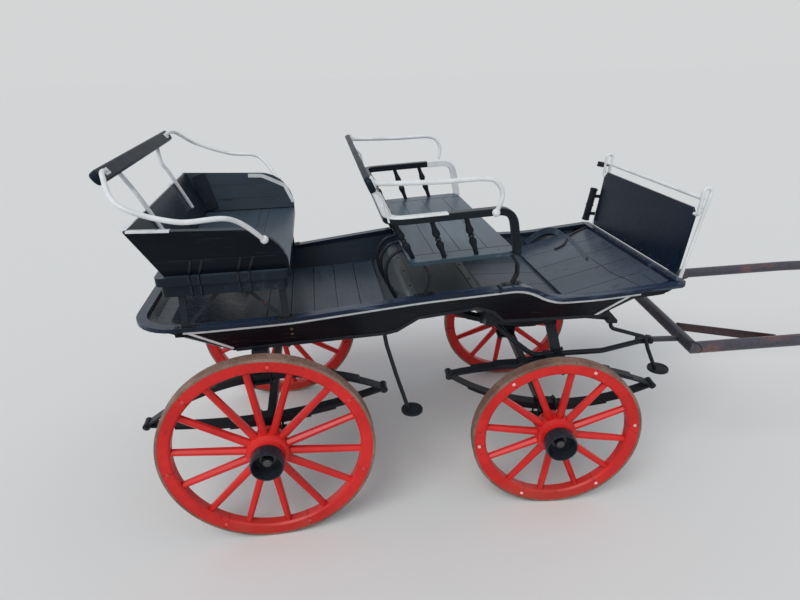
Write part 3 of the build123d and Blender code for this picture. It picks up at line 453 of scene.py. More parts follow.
class Batch:
    """Many small things of one material, joined in one mesh."""

    def __init__(self):
        self.points = []
        self.faces = []

    def skin(self, rings, looped=False, capped=False):
        """Faces between rings of points; a ring of one point closes to a tip."""
        base = len(self.points)
        starts = [base + sum(len(ring) for ring in rings[:i]) for i in range(len(rings))]
        faces = []
        for i in range(len(rings) if looped else len(rings) - 1):
            j = (i + 1) % len(rings)
            a, b, many_a, many_b = starts[i], starts[j], len(rings[i]), len(rings[j])
            for k in range(max(many_a, many_b)):
                n = (k + 1) % max(many_a, many_b)
                face = [a + k % many_a, a + n % many_a, b + n % many_b, b + k % many_b]
                faces.append(list(dict.fromkeys(face)))
        if capped:
            faces.append([starts[0] + k for k in range(len(rings[0]))][::-1])
            faces.append([starts[-1] + k for k in range(len(rings[-1]))])
        self.points += [point for ring in rings for point in ring]
        self.faces += [face for face in faces if len(face) > 2]

    def turned(self, outline, place, sides=20, looped=False):
        """A turned form about the place's Z: the outline's points are (radius, height)."""
        rings = [[place @ Vector((x, y, height)) for x, y in ring_of(radius, sides if radius else 1)]
                 for radius, height in outline]
        self.skin(rings, looped)

    def swept(self, path, section, over=UP, looped=False, level=False):
        """A section carried along a path; the section's second number lies towards over.
        Where level is set, it lies so at each point, and is not carried on."""
        count = len(path)
        rings = []
        first = over = Vector(over)
        for i, point in enumerate(path):
            over = first if level else over
            before = path[(i - 1) % count] if looped or i else point
            after = path[(i + 1) % count] if looped or i < count - 1 else point
            ahead = (after - before).normalized()
            over = (over - ahead * over.dot(ahead)).normalized()
            aside = ahead.cross(over)
            rings.append([point + aside * a + over * b for a, b in section])
        self.skin(rings, looped, not looped)

    def block(self, place, size):
        """A box about the place's origin."""
        outline = flat_section(size[0], size[1])
        self.skin([grown([(x, y, z) for x, y in outline], place) for z in (-size[2] / 2, size[2] / 2)],
                  capped=True)

    def clip(self, place, wide, high, long, thick):
        """A band round a stack: wide along Y and high along Z inside, long along X."""
        rings = []
        for x, grow in ((-long / 2, 0), (long / 2, 0), (long / 2, thick), (-long / 2, thick)):
            y, z = wide / 2 + grow, high / 2 + grow
            rings.append(grown([(x, -y, -z), (x, y, -z), (x, y, z), (x, -y, z)], place))
        self.skin(rings, looped=True)

    def dome(self, place, radius, high=0.5):
        """A round bolt head."""
        top = radius * high
        self.turned([(0, top), (radius * 0.5, top * 0.9), (radius * 0.86, top * 0.55), (radius, 0),
                     (radius, -radius * 0.2), (0, -radius * 0.2)], place, 16)

    def nut(self, place, flats, high, stub=0.0):
        """A hexagon nut with the bolt's end standing out of it."""
        corner = flats / math.sqrt(3)
        self.turned([(0, high), (corner * 0.86, high), (corner, high * 0.82), (corner, 0), (0, 0)], place, 6)
        if stub:
            self.turned([(0, high + stub), (flats * 0.22, high + stub), (flats * 0.27, high + stub * 0.7),
                         (flats * 0.27, 0), (0, 0)], place, 12)

    def studs(self, node, spots, toward, radius, high):
        """Bolt heads where lines from the spots first meet a node."""
        for spot in spots:
            self.dome(facing(*touch(node, spot, toward)), radius, high)

    def strip(self, node, start, end, toward, wide, thick):
        """A flat strip laid on a node between two points that are cast on it."""
        a, normal_a = touch(node, start, toward)
        b, normal_b = touch(node, end, toward)
        normal = (normal_a + normal_b).normalized()
        self.block(framed((a + b) / 2, b - a, normal), ((b - a).length, wide, thick))

    def piece(self, name, look, slot, bevel=0.0, body="body", node=None):
        """Makes the object, smooth but for its sharp edges."""
        mesh = bpy.data.meshes.new(name)
        mesh.from_pydata(self.points, [], self.faces)
        work = bmesh.new()
        work.from_mesh(mesh)
        bmesh.ops.recalc_face_normals(work, faces=work.faces)
        work.to_mesh(mesh)
        work.free()
        for face in mesh.polygons:
            face.use_smooth = True
        mesh.set_sharp_from_angle(angle=SHARP)
        put(name, mesh, LOOKS[look], body, node, bevel)


# Wheels: felloe joints, bolts, tyre bolts and the axle nut's pin

TYRE_THICK = 0.010
FELLOE_DEEP = 0.045
FELLOE_HALF = 0.023
FELLOE_EDGE = 0.007
PROUD = 0.0004
JOINT_HALF = 0.0008
TYRE_BOLT_AT = 0.055
BOLT_HIGH = 0.62
FELLOE_NUT = (0.014, 0.007, 0.004)
NUT_MIDDLE = 0.060
WASHER_BACK = 0.0105
AXLE_END = 0.076
PIN_RADIUS = 0.0022
TYRE_BOLT = [(0, 0.0006), (0.0048, 0.0006), (0.0060, 0.0002), (0.0060, -0.001), (0, -0.001)]
COTTER = [(0.004, -0.031), (0.003, -0.024), (0, -0.02), (0, 0.02), (-0.001, 0.026), (-0.006, 0.029)]
WASHER = [(0.020, 0.0), (0.030, 0.0), (0.030, 0.003), (0.020, 0.003)]
AXLE_CAP = [(0, 0.003), (0.006, 0.003), (0.008, 0.0015), (0.014, 0.001), (0.0155, 0), (0.0155, -0.002),
            (0, -0.002)]
WHEELS = {
    "rear": dict(turn=6.0, joints=7, first=0.0, bolt=0.0080, bolt_in=0.022, look="dull_bolt"),
    "front": dict(turn=-7.0, joints=6, first=30.0, bolt=0.0072, bolt_in=0.017, look="bright_bolt"),
}


def about(point, axis, degrees):
    """A turn about a line through the point."""
    return (Matrix.Translation(point) @ Matrix.Rotation(math.radians(degrees), 4, axis)
            @ Matrix.Translation(-point))


def dress_wheel(axle, side, sign, turn, joints, first, bolt, bolt_in, look):
    """One wheel turned to where it stands, and what is on it."""
    joint = JOINTS[f"{axle}_{side}_spin"]
    centre, axis = Vector(joint["pos_m"]), Vector(joint["axis"])
    out, ahead = axis * sign, Vector((axis.y, -axis.x, 0))
    radius = centre.z
    outer = radius - TYRE_THICK
    inner = outer - FELLOE_DEEP - PROUD
    half = FELLOE_HALF + PROUD
    outline = [(outer, -half), (outer, half), (inner + FELLOE_EDGE, half), (inner, half - FELLOE_EDGE),
               (inner, FELLOE_EDGE - half), (inner + FELLOE_EDGE, -half)]
    node, wheel = f"wheel_{axle}_{side}", f"{axle}_wheel_{side}"
    red = red_paint(f"red_{axle}_{side}", joint["pos_m"], joint["pos_m"][2] - TYRE_THICK - FELLOE_DEEP)
    copied(node, f"turned_{node}", about(centre, axis, turn), red, wheel)
    lines, heads, nuts, studs = Batch(), Batch(), Batch(), Batch()
    for number in range(joints):
        way = math.radians(turn + first + number * 360 / joints)
        spoke = ahead * math.sin(way) + UP * math.cos(way)
        round_ = ahead * math.cos(way) - UP * math.sin(way)
        lines.skin([[centre + spoke * r + out * w + round_ * t for r, w in outline]
                    for t in (-JOINT_HALF, JOINT_HALF)], capped=True)
        bolt_at = centre + spoke * (outer - bolt_in)
        heads.dome(facing(bolt_at + out * FELLOE_HALF, out), bolt, BOLT_HIGH)
        nuts.nut(facing(bolt_at - out * FELLOE_HALF, -out, way), *FELLOE_NUT)
        for shift in (-TYRE_BOLT_AT, TYRE_BOLT_AT):
            stud = (spoke + round_ * shift / radius).normalized()
            studs.turned(TYRE_BOLT, facing(centre + stud * radius, stud), 14)
    lines.piece(f"felloe_joints_{axle}_{side}", "crack", "red_wood", body=wheel)
    heads.piece(f"felloe_bolts_{axle}_{side}", look, "red_wood", body=wheel)
    nuts.piece(f"felloe_nuts_{axle}_{side}", "dull_bolt", "red_wood", body=wheel)
    studs.piece(f"tyre_bolts_{axle}_{side}", "tyre", "tyre_iron", body=wheel)

    pin = Batch()
    nut_at = centre + out * NUT_MIDDLE
    pin.swept(smooth([nut_at + ahead * a + UP * h for a, h in COTTER]), ring_of(PIN_RADIUS, 8), ahead)
    pin.turned(WASHER, facing(centre + out * (NUT_MIDDLE - WASHER_BACK), out), 28, looped=True)
    pin.turned(AXLE_CAP, facing(centre + out * AXLE_END, out), 20)
    pin.piece(f"nut_pin_{axle}_{side}", "grey_iron", "black_iron",
              body="body" if axle == "rear" else "forecarriage")


for axle_name, form in WHEELS.items():
    for side_name, side_sign in SIDES:
        dress_wheel(axle_name, side_name, side_sign, **form)

# Springs: clamp plates with U bolts, and the bolts through the eyes

LEAF = 0.007
LEAF_WIDE = 0.044
LEAVES = 4
STRETCH = 1.035
SPRING_SIDE = 0.384
BOLT_APART = 0.034
PLATE = 0.008
CLAMP_LONG = 0.088
AXLE_PLATE_LONG = 0.096
U_BOLT = ring_of(0.0046, 8)
U_BOLT_NUT = (0.015, 0.009, 0.005)
EYE_NUT = (0.013, 0.006)
EYE_WASHER = [(0, 0.002), (0.0140, 0.002), (0.0140, 0), (0, 0)]
SPRINGS = {
    "rear": dict(body="body", axle_x=0.0, axle_z=0.400, eye=0.510, low=0.434, high=0.662, half=0.437,
                 nose_up=3.9),
    "front": dict(body="forecarriage", axle_x=1.186, axle_z=0.338, eye=0.509, low=0.371, high=0.597,
                  half=0.408, nose_up=-5.2),
}


def dress_spring(axle, side, sign, body, axle_x, axle_z, eye, low, high, half, nose_up):
    """One spring tipped as it stands, with its clamps and eye bolts."""
    middle = (low + high) / 2
    level = (BODY if body == "body" else FORE) @ moved(axle_x, sign * SPRING_SIDE, middle)
    place = level @ tipped(-nose_up) @ Matrix.Diagonal((STRETCH, 1, 1, 1)) @ moved(z=-middle)
    node = f"spring_{axle}_{side}"
    tip = place @ moved(z=middle) @ level.inverted()
    copied(node, f"tipped_{node}", tip, LOOKS["iron"], body)
    iron = Batch()
    over = place.to_3x3() @ AHEAD
    reach = LEAF_WIDE / 2 + 0.010
    top, under = low + LEAVES * LEAF, high - LEAVES * LEAF
    iron.block(place @ moved(z=top + PLATE / 2), (CLAMP_LONG, LEAF_WIDE + 0.006, PLATE))
    iron.block(place @ moved(z=axle_z - 0.022), (AXLE_PLATE_LONG, LEAF_WIDE + 0.034, PLATE))
    for x in (-BOLT_APART, BOLT_APART):
        hoop = [(x, -reach, axle_z - 0.030), (x, -reach, top), (x, -reach + 0.008, top + 0.012),
                (x, reach - 0.008, top + 0.012), (x, reach, top), (x, reach, axle_z - 0.030)]
        iron.swept(grown(hoop, place), U_BOLT, over)
        for y in (-reach, reach):
            iron.nut(place @ facing(Vector((x, y, axle_z - 0.026)), DOWN), *U_BOLT_NUT)
    iron.block(place @ moved(z=under - PLATE / 2), (CLAMP_LONG, LEAF_WIDE + 0.030, PLATE))
    for x in (-BOLT_APART, BOLT_APART):
        for y in (-reach, reach):
            iron.swept(grown([(x, y, under - 0.010), (x, y, high + 0.012)], place), U_BOLT, over)
            iron.nut(place @ facing(Vector((x, y, under - PLATE)), DOWN), *U_BOLT_NUT)
    for x in (-half, half):
        for y in (-1, 1):
            on_eye = place @ facing(Vector((x, y * LEAF_WIDE / 2, eye)), (0, y, 0), 0.4)
            iron.turned(EYE_WASHER, on_eye, 18)
            iron.nut(on_eye @ moved(z=0.002), *EYE_NUT, 0.002 if y == sign else 0.0)
    iron.piece(f"spring_clips_{axle}_{side}", "iron", "black_iron", body=body)


for axle_name, form in SPRINGS.items():
    for side_name, side_sign in SIDES:
        dress_spring(axle_name, side_name, side_sign, **form)

# Tray: the rail and the sides' upper edge. Pairs give the rear end first, then the front end

TRAY_HALF = 0.364
TRAY_FOOT = 0.740
FLARE = 0.40
TRAY_ENDS = (-0.366, 1.590)
TRAY_CORNERS = (-0.258, 1.560)
RAIL_TOP = [(-0.480, 0.896), (-0.200, 0.886), (0.120, 0.893), (0.600, 0.941), (0.992, 0.962), (1.112, 0.884),
            (1.300, 0.882), (1.720, 0.914)]
RAIL_SOFT = 0.050
RAIL_THICK = 0.016
RAIL_WIDE = 0.036
RAIL_OVER = 0.008
RAIL_ENDS = (-0.430, 1.652)
RAIL_CORNERS = (0.150, 0.032)
RAIL_STEPS = 76
CORNER_STEPS = 8
SKIRT = 0.030
SKIRT_WALL = 0.013
SKIRT_PROUD = 0.0008
SKIRT_TOP = 0.9


def side_y(z, sign, proud=0.0):
    """The outside of the tray's side at a height."""
    return sign * (TRAY_HALF + FLARE * (z - TRAY_FOOT) + proud)


def side_point(x, z, sign, proud=0.0):
    """A point on the outside of the tray's side."""
    return at(x, side_y(z, sign, proud), z)


def rail_z(x):
    """Height of the rail's top, its bends softened."""
    low, high = RAIL_TOP[0][0], RAIL_TOP[-1][0]
    spots = [min(max(x + RAIL_SOFT * i / 3, low), high) for i in range(-3, 4)]
    return sum(height_on(RAIL_TOP, spot) for spot in spots) / len(spots)


def half_outline():
    """The left half of the rail's outline from above, as x, aside and corner. At a straight end, aside is a
    share of its width and corner is None. Elsewhere aside is the way in from the side, and corner is how far
    round it lies: up to 1 from the rear end, down to -1 at the front end."""
    back, front = RAIL_ENDS
    radius, small = RAIL_CORNERS
    run = front - small - back - radius
    turns = [(math.pi / 2 * i / CORNER_STEPS, i / CORNER_STEPS) for i in range(CORNER_STEPS + 1)]
    spots = [(back, i / 4, None) for i in range(5)]
    spots += [(back + radius * (1 - math.cos(turn)), radius * (1 - math.sin(turn)), share)
              for turn, share in turns[1:]]
    spots += [(back + radius + run * i / RAIL_STEPS, 0.0, 1.0) for i in range(1, RAIL_STEPS)]
    spots += [(front - small * (1 - math.sin(turn)), small * (1 - math.cos(turn)), -share)
              for turn, share in turns]
    return spots + [(front, i / 4, None) for i in (3, 2, 1)]


def rail_spots():
    """For each spot of the outline: a point of the rail's outer edge, and one of the skirt's foot."""
    spots = []
    for x, aside, corner in half_outline():
        end = 0 if x < 0 else 1
        z = rail_z(x)
        half = side_y(z, 1) + RAIL_OVER
        straight = half - RAIL_CORNERS[end]
        y = straight * aside if corner is None else half - aside
        foot_x, foot_z = TRAY_ENDS[end], z - RAIL_THICK - SKIRT
        if corner is None:
            foot_y = y
        elif corner == 1:
            foot_x, foot_y = min(x, TRAY_CORNERS[1]), side_y(foot_z, 1, SKIRT_PROUD)
        else:
            share = corner if corner > 0 else 1 + corner
            foot_x += (TRAY_CORNERS[end] - foot_x) * share
            foot_y = straight + (side_y(foot_z, 1) - straight) * share
        spots.append((x, y, z, foot_x, foot_y, foot_z))
    return spots


def inward(line, distance):
    """A closed line in plan moved inward by a distance."""
    inner = []
    for i, point in enumerate(line):
        way = line[(i + 1) % len(line)] - line[i - 1]
        inner.append(point + Vector((way.y, -way.x, 0)).normalized() * distance)
    return inner


def rail_and_skirt():
    """The rail in one closed loop, and the sides' upper edge that carries it."""
    left = rail_spots()
    spots = left + [(x, -y, z, foot_x, -foot_y, foot_z) for x, y, z, foot_x, foot_y, foot_z in left[-1:0:-1]]
    rail, skirt = Batch(), Batch()
    middle = inward([at(x, y, z - RAIL_THICK / 2) for x, y, z, *_ in spots], RAIL_WIDE / 2)
    rail.swept(middle, flat_section(RAIL_WIDE, RAIL_THICK), looped=True, level=True)
    under = inward([at(x, y, z - RAIL_THICK * SKIRT_TOP) for x, y, z, *_ in spots],
                   RAIL_OVER - 0.001 + FLARE * RAIL_THICK)
    low = [at(*spot[3:]) for spot in spots]
    skirt.skin(list(zip(low, under, inward(under, SKIRT_WALL), inward(low, SKIRT_WALL))), looped=True)
    rail.piece("shaped_rail", "rail", "rail_paint", 0.003, node="rail")
    skirt.piece("side_upper_edge", "body", "body_paint")


rail_and_skirt()

# Tray sides: white lines, the moulding below, bolts and the clip on the rail

LINE_HIGH = 0.013
LINE_THICK = 0.0014
LINE_X = (-0.250, 1.470)
LINE_STEPS = 64
# Each line along a sloping end: its foot, its slope and which end
END_LINES = [(-0.071, -1.47, -1), (1.282, 1.30, 1)]
END_LINE_RISE = (0.024, 0.124)
END_LINE_WIDE = 0.011
END_LINE_IN = 0.012
MOULDING = (0.006, 0.013)
SCREW_APART = 0.135
BELLY = [(-0.085, 0.752), (0.470, 0.769), (0.512, 0.779), (0.592, 0.836), (0.822, 0.860), (0.882, 0.832),
         (0.932, 0.779), (1.335, 0.763)]
CLIP_AT = 0.888
CLIP_STRAP = (0.012, 0.002)
CLIP_LINE = [(-RAIL_WIDE, 0), (-0.002, 0), (0.0012, 0.002), (0.0012, 0.015), (-0.002, 0.0185),
             (-0.010, 0.0185)]
SIDE_BOLTS = [(0.125, 0.839), (0.125, 0.814)]


def white_lines(side, sign):
    """The line under the rail and the one along the edge of each sloping end."""
    lines = Batch()
    spots = [LINE_X[0] + (LINE_X[1] - LINE_X[0]) * i / LINE_STEPS for i in range(LINE_STEPS + 1)]
    lines.swept([side_point(x, rail_z(x) - RAIL_THICK - LINE_HIGH * 0.62, sign, 0.0016) for x in spots],
                flat_section(LINE_THICK, LINE_HIGH))
    for foot_x, slope, end in END_LINES:
        low, high = [side_point(foot_x + slope * rise, TRAY_FOOT + rise, sign, 0.0006)
                     for rise in END_LINE_RISE]
        middle = (low + high) / 2 - Vector((end * END_LINE_IN, 0, 0))
        lines.block(framed(middle, high - low, Vector((0, sign, -FLARE)).normalized()),
                    ((high - low).length, END_LINE_WIDE, LINE_THICK))
    lines.piece(f"white_lines_{side}", "white", "white_rod")


def lower_edge(side, sign):
    """The moulding along the tray's lower edge, with its screws."""
    edge, screws = Batch(), Batch()
    edge.swept([side_point(x, z + 0.006, sign, 0.002) for x, z in BELLY], flat_section(*MOULDING))
    for x in [SCREW_APART * i - 0.05 for i in range(11)]:
        spot = side_point(x, height_on(BELLY, x) + 0.006, sign, 0.005)
        screws.dome(facing(spot, (0, sign, 0)), 0.0036)
    edge.piece(f"lower_edge_{side}", "iron", "black_iron", 0.0008)
    screws.piece(f"edge_screws_{side}", "iron", "black_iron")


def rail_clip(side, sign):
    """A thin iron wrapped round the rail over its joint."""
    clip = Batch()
    top = side_point(CLIP_AT, rail_z(CLIP_AT), sign, RAIL_OVER - RAIL_WIDE / 2)
    y, z = top.y + sign * RAIL_WIDE / 2, top.z + 0.0012
    clip.swept([Vector((top.x, y + sign * out, z - drop)) for out, drop in CLIP_LINE],
               flat_section(*CLIP_STRAP))
    clip.dome(facing(top + UP * 0.002, UP), 0.005)
    clip.piece(f"rail_clip_{side}", "iron", "black_iron")


for side_name, side_sign in SIDES:
    white_lines(side_name, side_sign)
    lower_edge(side_name, side_sign)
    rail_clip(side_name, side_sign)
    rusty = Batch()
    for x, z in SIDE_BOLTS:
        rusty.dome(facing(side_point(x, z, side_sign), (0, side_sign, 0)), 0.0055)
    rusty.piece(f"side_bolts_{side_name}", "rust", "brown_iron")

# Seat irons: plates and bolts on the rail

LEG_FEET = (-0.236, 0.112, 0.612, 0.938)
LEG_SIDE = 0.423
LEG_PLATE = (0.074, 0.026, 0.003)
SLOPE_STEP = 0.005

for side_name, side_sign in SIDES:
    plates = Batch()
    for x in LEG_FEET:
        rise = (rail_z(x + SLOPE_STEP) - rail_z(x - SLOPE_STEP)) / (2 * SLOPE_STEP)
        along = Vector((1, 0, rise)).normalized()
        place = framed(at(x, side_sign * LEG_SIDE, rail_z(x)), along, (-along.z, 0, along.x))
        plates.block(place @ moved(z=LEG_PLATE[2] / 2), LEG_PLATE)
        for shift in (-0.026, 0.026):
            plates.dome(place @ moved(shift, 0, LEG_PLATE[2]), 0.0058)
    plates.piece(f"foot_plates_{side_name}", "iron", "black_iron", 0.0006)

# Floor: nails, the boards over the wheel arch with their edging, and the irons behind the driver's seat

ABOVE_FLOOR = 0.95
FRONT_NAILS_Y = (-0.32, -0.25, -0.18, -0.11, -0.04, 0.03, 0.11, 0.17, 0.25, 0.32)
RAISED = [(0.500, 0.790), (0.588, 0.872), (0.860, 0.884), (0.934, 0.800)]
RAISED_UNDER = [(0.930, 0.797), (0.860, 0.872), (0.590, 0.861), (0.505, 0.788)]
EDGING = 0.024
EDGING_THICK = 0.0035
WALL_AND_GAP = 0.0165
STAY = ring_of(0.0065, 12)
# Each strip of the edging: its board, the fold that it lies at and its way from there
EDGINGS = [(0, 1, -1), (1, 1, 1), (1, 2, -1), (2, 2, 1)]
SEAT_STAYS = [
    (-0.285, ((0.590, 1.070), (0.530, 1.062), (0.492, 1.010), (0.500, 0.930), (0.546, 0.840))),
    (-0.180, ((0.590, 1.070), (0.522, 1.060), (0.484, 1.005), (0.494, 0.925), (0.540, 0.836))),
    (-0.100, ((0.590, 1.070), (0.518, 1.060), (0.480, 1.003), (0.490, 0.920), (0.536, 0.832))),
]


def inside(z):
    """Half the width inside the tray at a height."""
    return side_y(z, 1) - WALL_AND_GAP


boards = Batch()
boards.skin([[at(x, sign * inside(z), z) for x, z in RAISED + RAISED_UNDER] for sign in (-1, 1)], capped=True)
boards.piece("raised_floor", "riser", "board_paint", 0.002, node="riser")

nails = Batch()
nails.studs("rear_floor_boards", [at(0.048 * i - 0.056, y, ABOVE_FLOOR) for i in range(11)
                                  for y in (-0.29, 0.0, 0.29)], DOWN, 0.0032, 0.25)
nails.studs("front_floor_boards", [at(x, y, ABOVE_FLOOR) for y in FRONT_NAILS_Y for x in (0.955, 1.225)],
            DOWN, 0.0034, 0.25)
nails.piece("floor_nails", "iron", "board_paint")

strips, bolts = Batch(), Batch()
for board, fold, way in EDGINGS:
    (x0, z0), (x1, z1) = RAISED[board:board + 2]
    run = Vector((x1 - x0, 0, z1 - z0)).normalized()
    normal = Vector((-run.z, 0, run.x))
    x, z = RAISED[fold]
    middle = at(x, 0, z) + run * way * EDGING / 2 + normal * 0.001
    strips.block(framed(middle, run, normal), (EDGING, 2 * inside(z) - 0.004, EDGING_THICK))
    if board == 1:
        for y in (-0.34, -0.17, 0.0, 0.17, 0.34):
            bolts.dome(facing(middle + Vector((0, y, 0)) + normal * 0.0018, normal), 0.0055)
strips.piece("arch_edging", "worn_edge", "board_paint", 0.001)
bolts.piece("arch_bolts", "iron", "black_iron")

stays = Batch()
for y, line in SEAT_STAYS:
    stays.swept(smooth([at(x, y, z) for x, z in line]), STAY, ACROSS)
stays.piece("seat_stays", "iron", "black_iron")

# Rear seat: seams, cleats and the straps that hold the tub on its base

SEAM = 0.0022
SEAM_HEIGHTS = (1.135, 1.195)
# Each strap: where it leaves the tub's top, and where it goes round the tiers
STRAPS = [(-0.175, -0.191), (-0.136, -0.159), (-0.013, -0.031), (0.029, 0.006)]
STRAP_TOP = 1.140
STRAP_LEAN = 0.056
STRAP = (0.008, 0.003)
CLEAT = (0.062, 0.018)
STRAP_LINE = [(STRAP_TOP, 0.4405), (1.084, 0.4235), (1.0830, 0.4380), (1.0800, 0.4425), (1.0560, 0.4425),
              (1.0490, 0.4330), (1.0450, 0.4290), (1.0100, 0.4285), (1.0040, 0.4200), (1.0040, 0.3950)]

seams, cleats = Batch(), Batch()
for x in (-0.013, 0.025):
    seams.strip("rear_seat_base", at(x, -0.412, 1.2), at(x, 0.412, 1.2), DOWN, SEAM, PROUD)
for z in SEAM_HEIGHTS:
    seams.strip("rear_seat_back", at(0, -0.40, z), at(0, 0.40, z), (-1, 0, 0), SEAM, PROUD)
    for side_name, side_sign in SIDES:
        node, y = f"rear_seat_side_{side_name}", side_sign * 0.7
        seams.strip(node, at(-0.27, 0, z), at(0.085, 0, z), (0, side_sign, 0), SEAM, PROUD)
        seams.strip(node, at(-0.29, y, z), at(0.10, y, z), (0, -side_sign, 0), SEAM * 0.6, PROUD)
seams.piece("tub_seams", "seam", "seat_paint")

for side_name, side_sign in SIDES:
    low, high = at(-0.238, 0, 1.090), at(-0.285, 0, 1.246)
    cleats.strip(f"rear_seat_side_{side_name}", low, high, (0, side_sign, 0), *CLEAT)
cleats.piece("tub_cleats", "tub", "seat_paint", 0.0015)

for side_name, side_sign in SIDES:
    straps = Batch()
    for high_x, low_x in STRAPS:
        path = []
        for z, y in STRAP_LINE:
            share = min(max((STRAP_TOP - z) / STRAP_LEAN, 0), 1)
            path.append(at(high_x + (low_x - high_x) * share, side_sign * y, z))
        straps.swept(path, flat_section(*STRAP), (0, side_sign, 0))
    straps.piece(f"tub_straps_{side_name}", "iron", "black_iron")

# White paint that still shows on the tub's edges: the points of each strip

TUB_TOP = [(-0.354, 1.254), (0.003, 1.238), (0.100, 1.192), (0.141, 1.100)]
TUB_FOOT = (0.420, 1.080)
TUB_FLARE = 0.30
TUB_WALL = 0.014
NEAR_EDGE_X = (-0.345, -0.30, -0.255, -0.215)
FAR_SHOULDER_X = (-0.060, -0.030, 0.000, 0.030, 0.060, 0.085, 0.100, 0.112, 0.124, 0.133)


def tub_side(x, drop, out, sign):
    """A point on the tub's side: so far under its top edge and out from its outer face."""
    z = height_on(TUB_TOP, x) - drop
    return at(x, sign * (TUB_FOOT[0] + TUB_FLARE * (z - TUB_FOOT[1]) + out), z)


white_edges = Batch()
white_edges.swept([tub_side(x, -0.0006, -TUB_WALL / 2, -1) for x in NEAR_EDGE_X],
                  flat_section(TUB_WALL + 0.009, 0.006))
white_edges.swept([tub_side(x, 0.014, -TUB_WALL - 0.0008, 1) for x in FAR_SHOULDER_X],
                  flat_section(0.0014, 0.028), (0.6, 0, 0.8))
white_edges.swept([at(-0.358, y, 1.2555) for y in (0.20, 0.30, 0.44)], flat_section(0.015, 0.0014))
white_edges.swept([at(-0.356, y, 1.2550) for y in (-0.462, -0.42, -0.375)],
                  flat_section(TUB_WALL + 0.004, 0.005))
white_edges.piece("tub_white_edges", "white", "white_rod")

# Driver's seat: the board, its arm rail, spindles, irons and struts, tipped as it hangs

SEAT = BODY @ moved(0.555, 0, 1.079) @ tipped(-2.4)
SEAT_DEEP = 0.387
SEAT_HALF = 0.454
SEAT_THICK = 0.017
SEAT_CORNER = 0.040
END_BOARD = 0.070
ARM_HALF = 0.456
ARM_BACK = -0.063
ARM_FRONT = 0.367
ARM_UP = 0.155
ARM_BEND = 0.062
ARM_SECTION = (0.032, 0.026)
# Each spindle: its foot and its top, as x and y
SIDE_SPINDLES = [(0.246, 0.432, 0.199, 0.456), (0.130, 0.432, 0.079, 0.456), (0.022, 0.405, -0.049, 0.440)]
BACK_SPINDLES = [(0.022, y, ARM_BACK, y) for y in (-0.290, 0.0, 0.290)]
# The spindle's radii in millimetres at shares of its length
SPINDLE_FORM = [(0.00, 8), (0.20, 9), (0.38, 14), (0.47, 8), (0.50, 12), (0.53, 8), (0.62, 14), (0.80, 9),
                (1.00, 8)]
STRUT_SECTION = (0.026, 0.007)
STRUT_BEND = 0.030
STRUT = [(0.430, 0.441, 1.354), (0.470, 0.441, 1.308), (0.487, 0.441, 1.226)]
# Each leg: where its foot, its head and its bow stand
FRONT_LEGS = [(0.612, 0.600, 0.632), (0.938, 0.925, 0.958)]
LEG_SECTION = (0.024, 0.009)
LEG_BEND = 0.018
LEG_HEAD = (0.555, 1.0705)
LEG_HEAD_SLOPE = 0.0419


def rounded_board(place, deep, half, thick, corner):
    """A board with rounded corners, its top at the place and its rear edge at x 0."""
    board = Batch()
    outline = []
    for turn, x, y in ((0, deep - corner, half - corner), (90, corner, half - corner),
                       (180, corner, corner - half), (270, deep - corner, corner - half)):
        for i in range(7):
            way = math.radians(turn + 15 * i)
            outline.append((x + corner * math.cos(way), y + corner * math.sin(way)))
    board.skin([grown([(x, y, z) for x, y in outline], place) for z in (-thick, 0)], capped=True)
    return board


def spindle(foot, run):
    """The points of a turned spindle, its radii blended from one to the next."""
    form = []
    for (share, radius), (next_share, next_radius) in zip(SPINDLE_FORM, SPINDLE_FORM[1:]):
        for i in range(5):
            blend = (1 - math.cos(math.pi * i / 5)) / 2
            form.append(((radius + (next_radius - radius) * blend) / 1000,
                         (share + (next_share - share) * i / 5) * run.length))
    return form, facing(foot, run)


left_arm = [(SEAT_DEEP, SEAT_HALF, -SEAT_THICK / 2), (ARM_FRONT, ARM_HALF, ARM_UP),
            (ARM_BACK, ARM_HALF, ARM_UP)]
arm_corners = left_arm + [(x, -y, z) for x, y, z in left_arm[::-1]]
arm = filleted(grown(arm_corners, SEAT), ARM_BEND, 10)
arm_rail = Batch()
arm_rail.swept(arm, flat_section(*ARM_SECTION), AHEAD)
arm_rail.piece("bent_arm_rail", "black_wood", "seat_paint", 0.003, node="arm_rail")

seat_board = rounded_board(SEAT, SEAT_DEEP, SEAT_HALF, SEAT_THICK, SEAT_CORNER)
seat_board.piece("tipped_seat_board", "seat", "seat_paint", 0.002, node="front_seat_board")

spindles = Batch()
for foot_x, foot_y, top_x, top_y in ([(a, s * b, c, s * d) for a, b, c, d in SIDE_SPINDLES for s in (1, -1)]
                                     + BACK_SPINDLES):
    foot = SEAT @ Vector((foot_x, foot_y, -SEAT_THICK / 2))
    spindles.turned(*spindle(foot, SEAT @ Vector((top_x, top_y, ARM_UP)) - foot), 18)
spindles.piece("leaning_spindles", "black_wood", "seat_paint", node="spindles")

legs, struts = Batch(), Batch()
for sign in (1, -1):
    y = sign * LEG_SIDE
    for foot, head, bow in FRONT_LEGS:
        low = rail_z(foot) - RAIL_THICK / 2
        high = LEG_HEAD[1] + (head - LEG_HEAD[0]) * LEG_HEAD_SLOPE
        line = [at(foot, y, low), at(bow, y, low + 0.35 * (high - low)), at(bow, y, low + 0.6 * (high - low)),
                at(head, y, high)]
        legs.swept(filleted(line, LEG_BEND, 5), flat_section(*LEG_SECTION), AHEAD)
    struts.swept(filleted([at(x, sign * y, z) for x, y, z in STRUT], STRUT_BEND, 6),
                 flat_section(*STRUT_SECTION), (1, 0, 0.5))
legs.piece("bowed_seat_irons", "iron", "black_iron", node="front_seat_legs")
struts.piece("bent_front_struts", "white", "white_rod", 0.0015, node="front_struts")
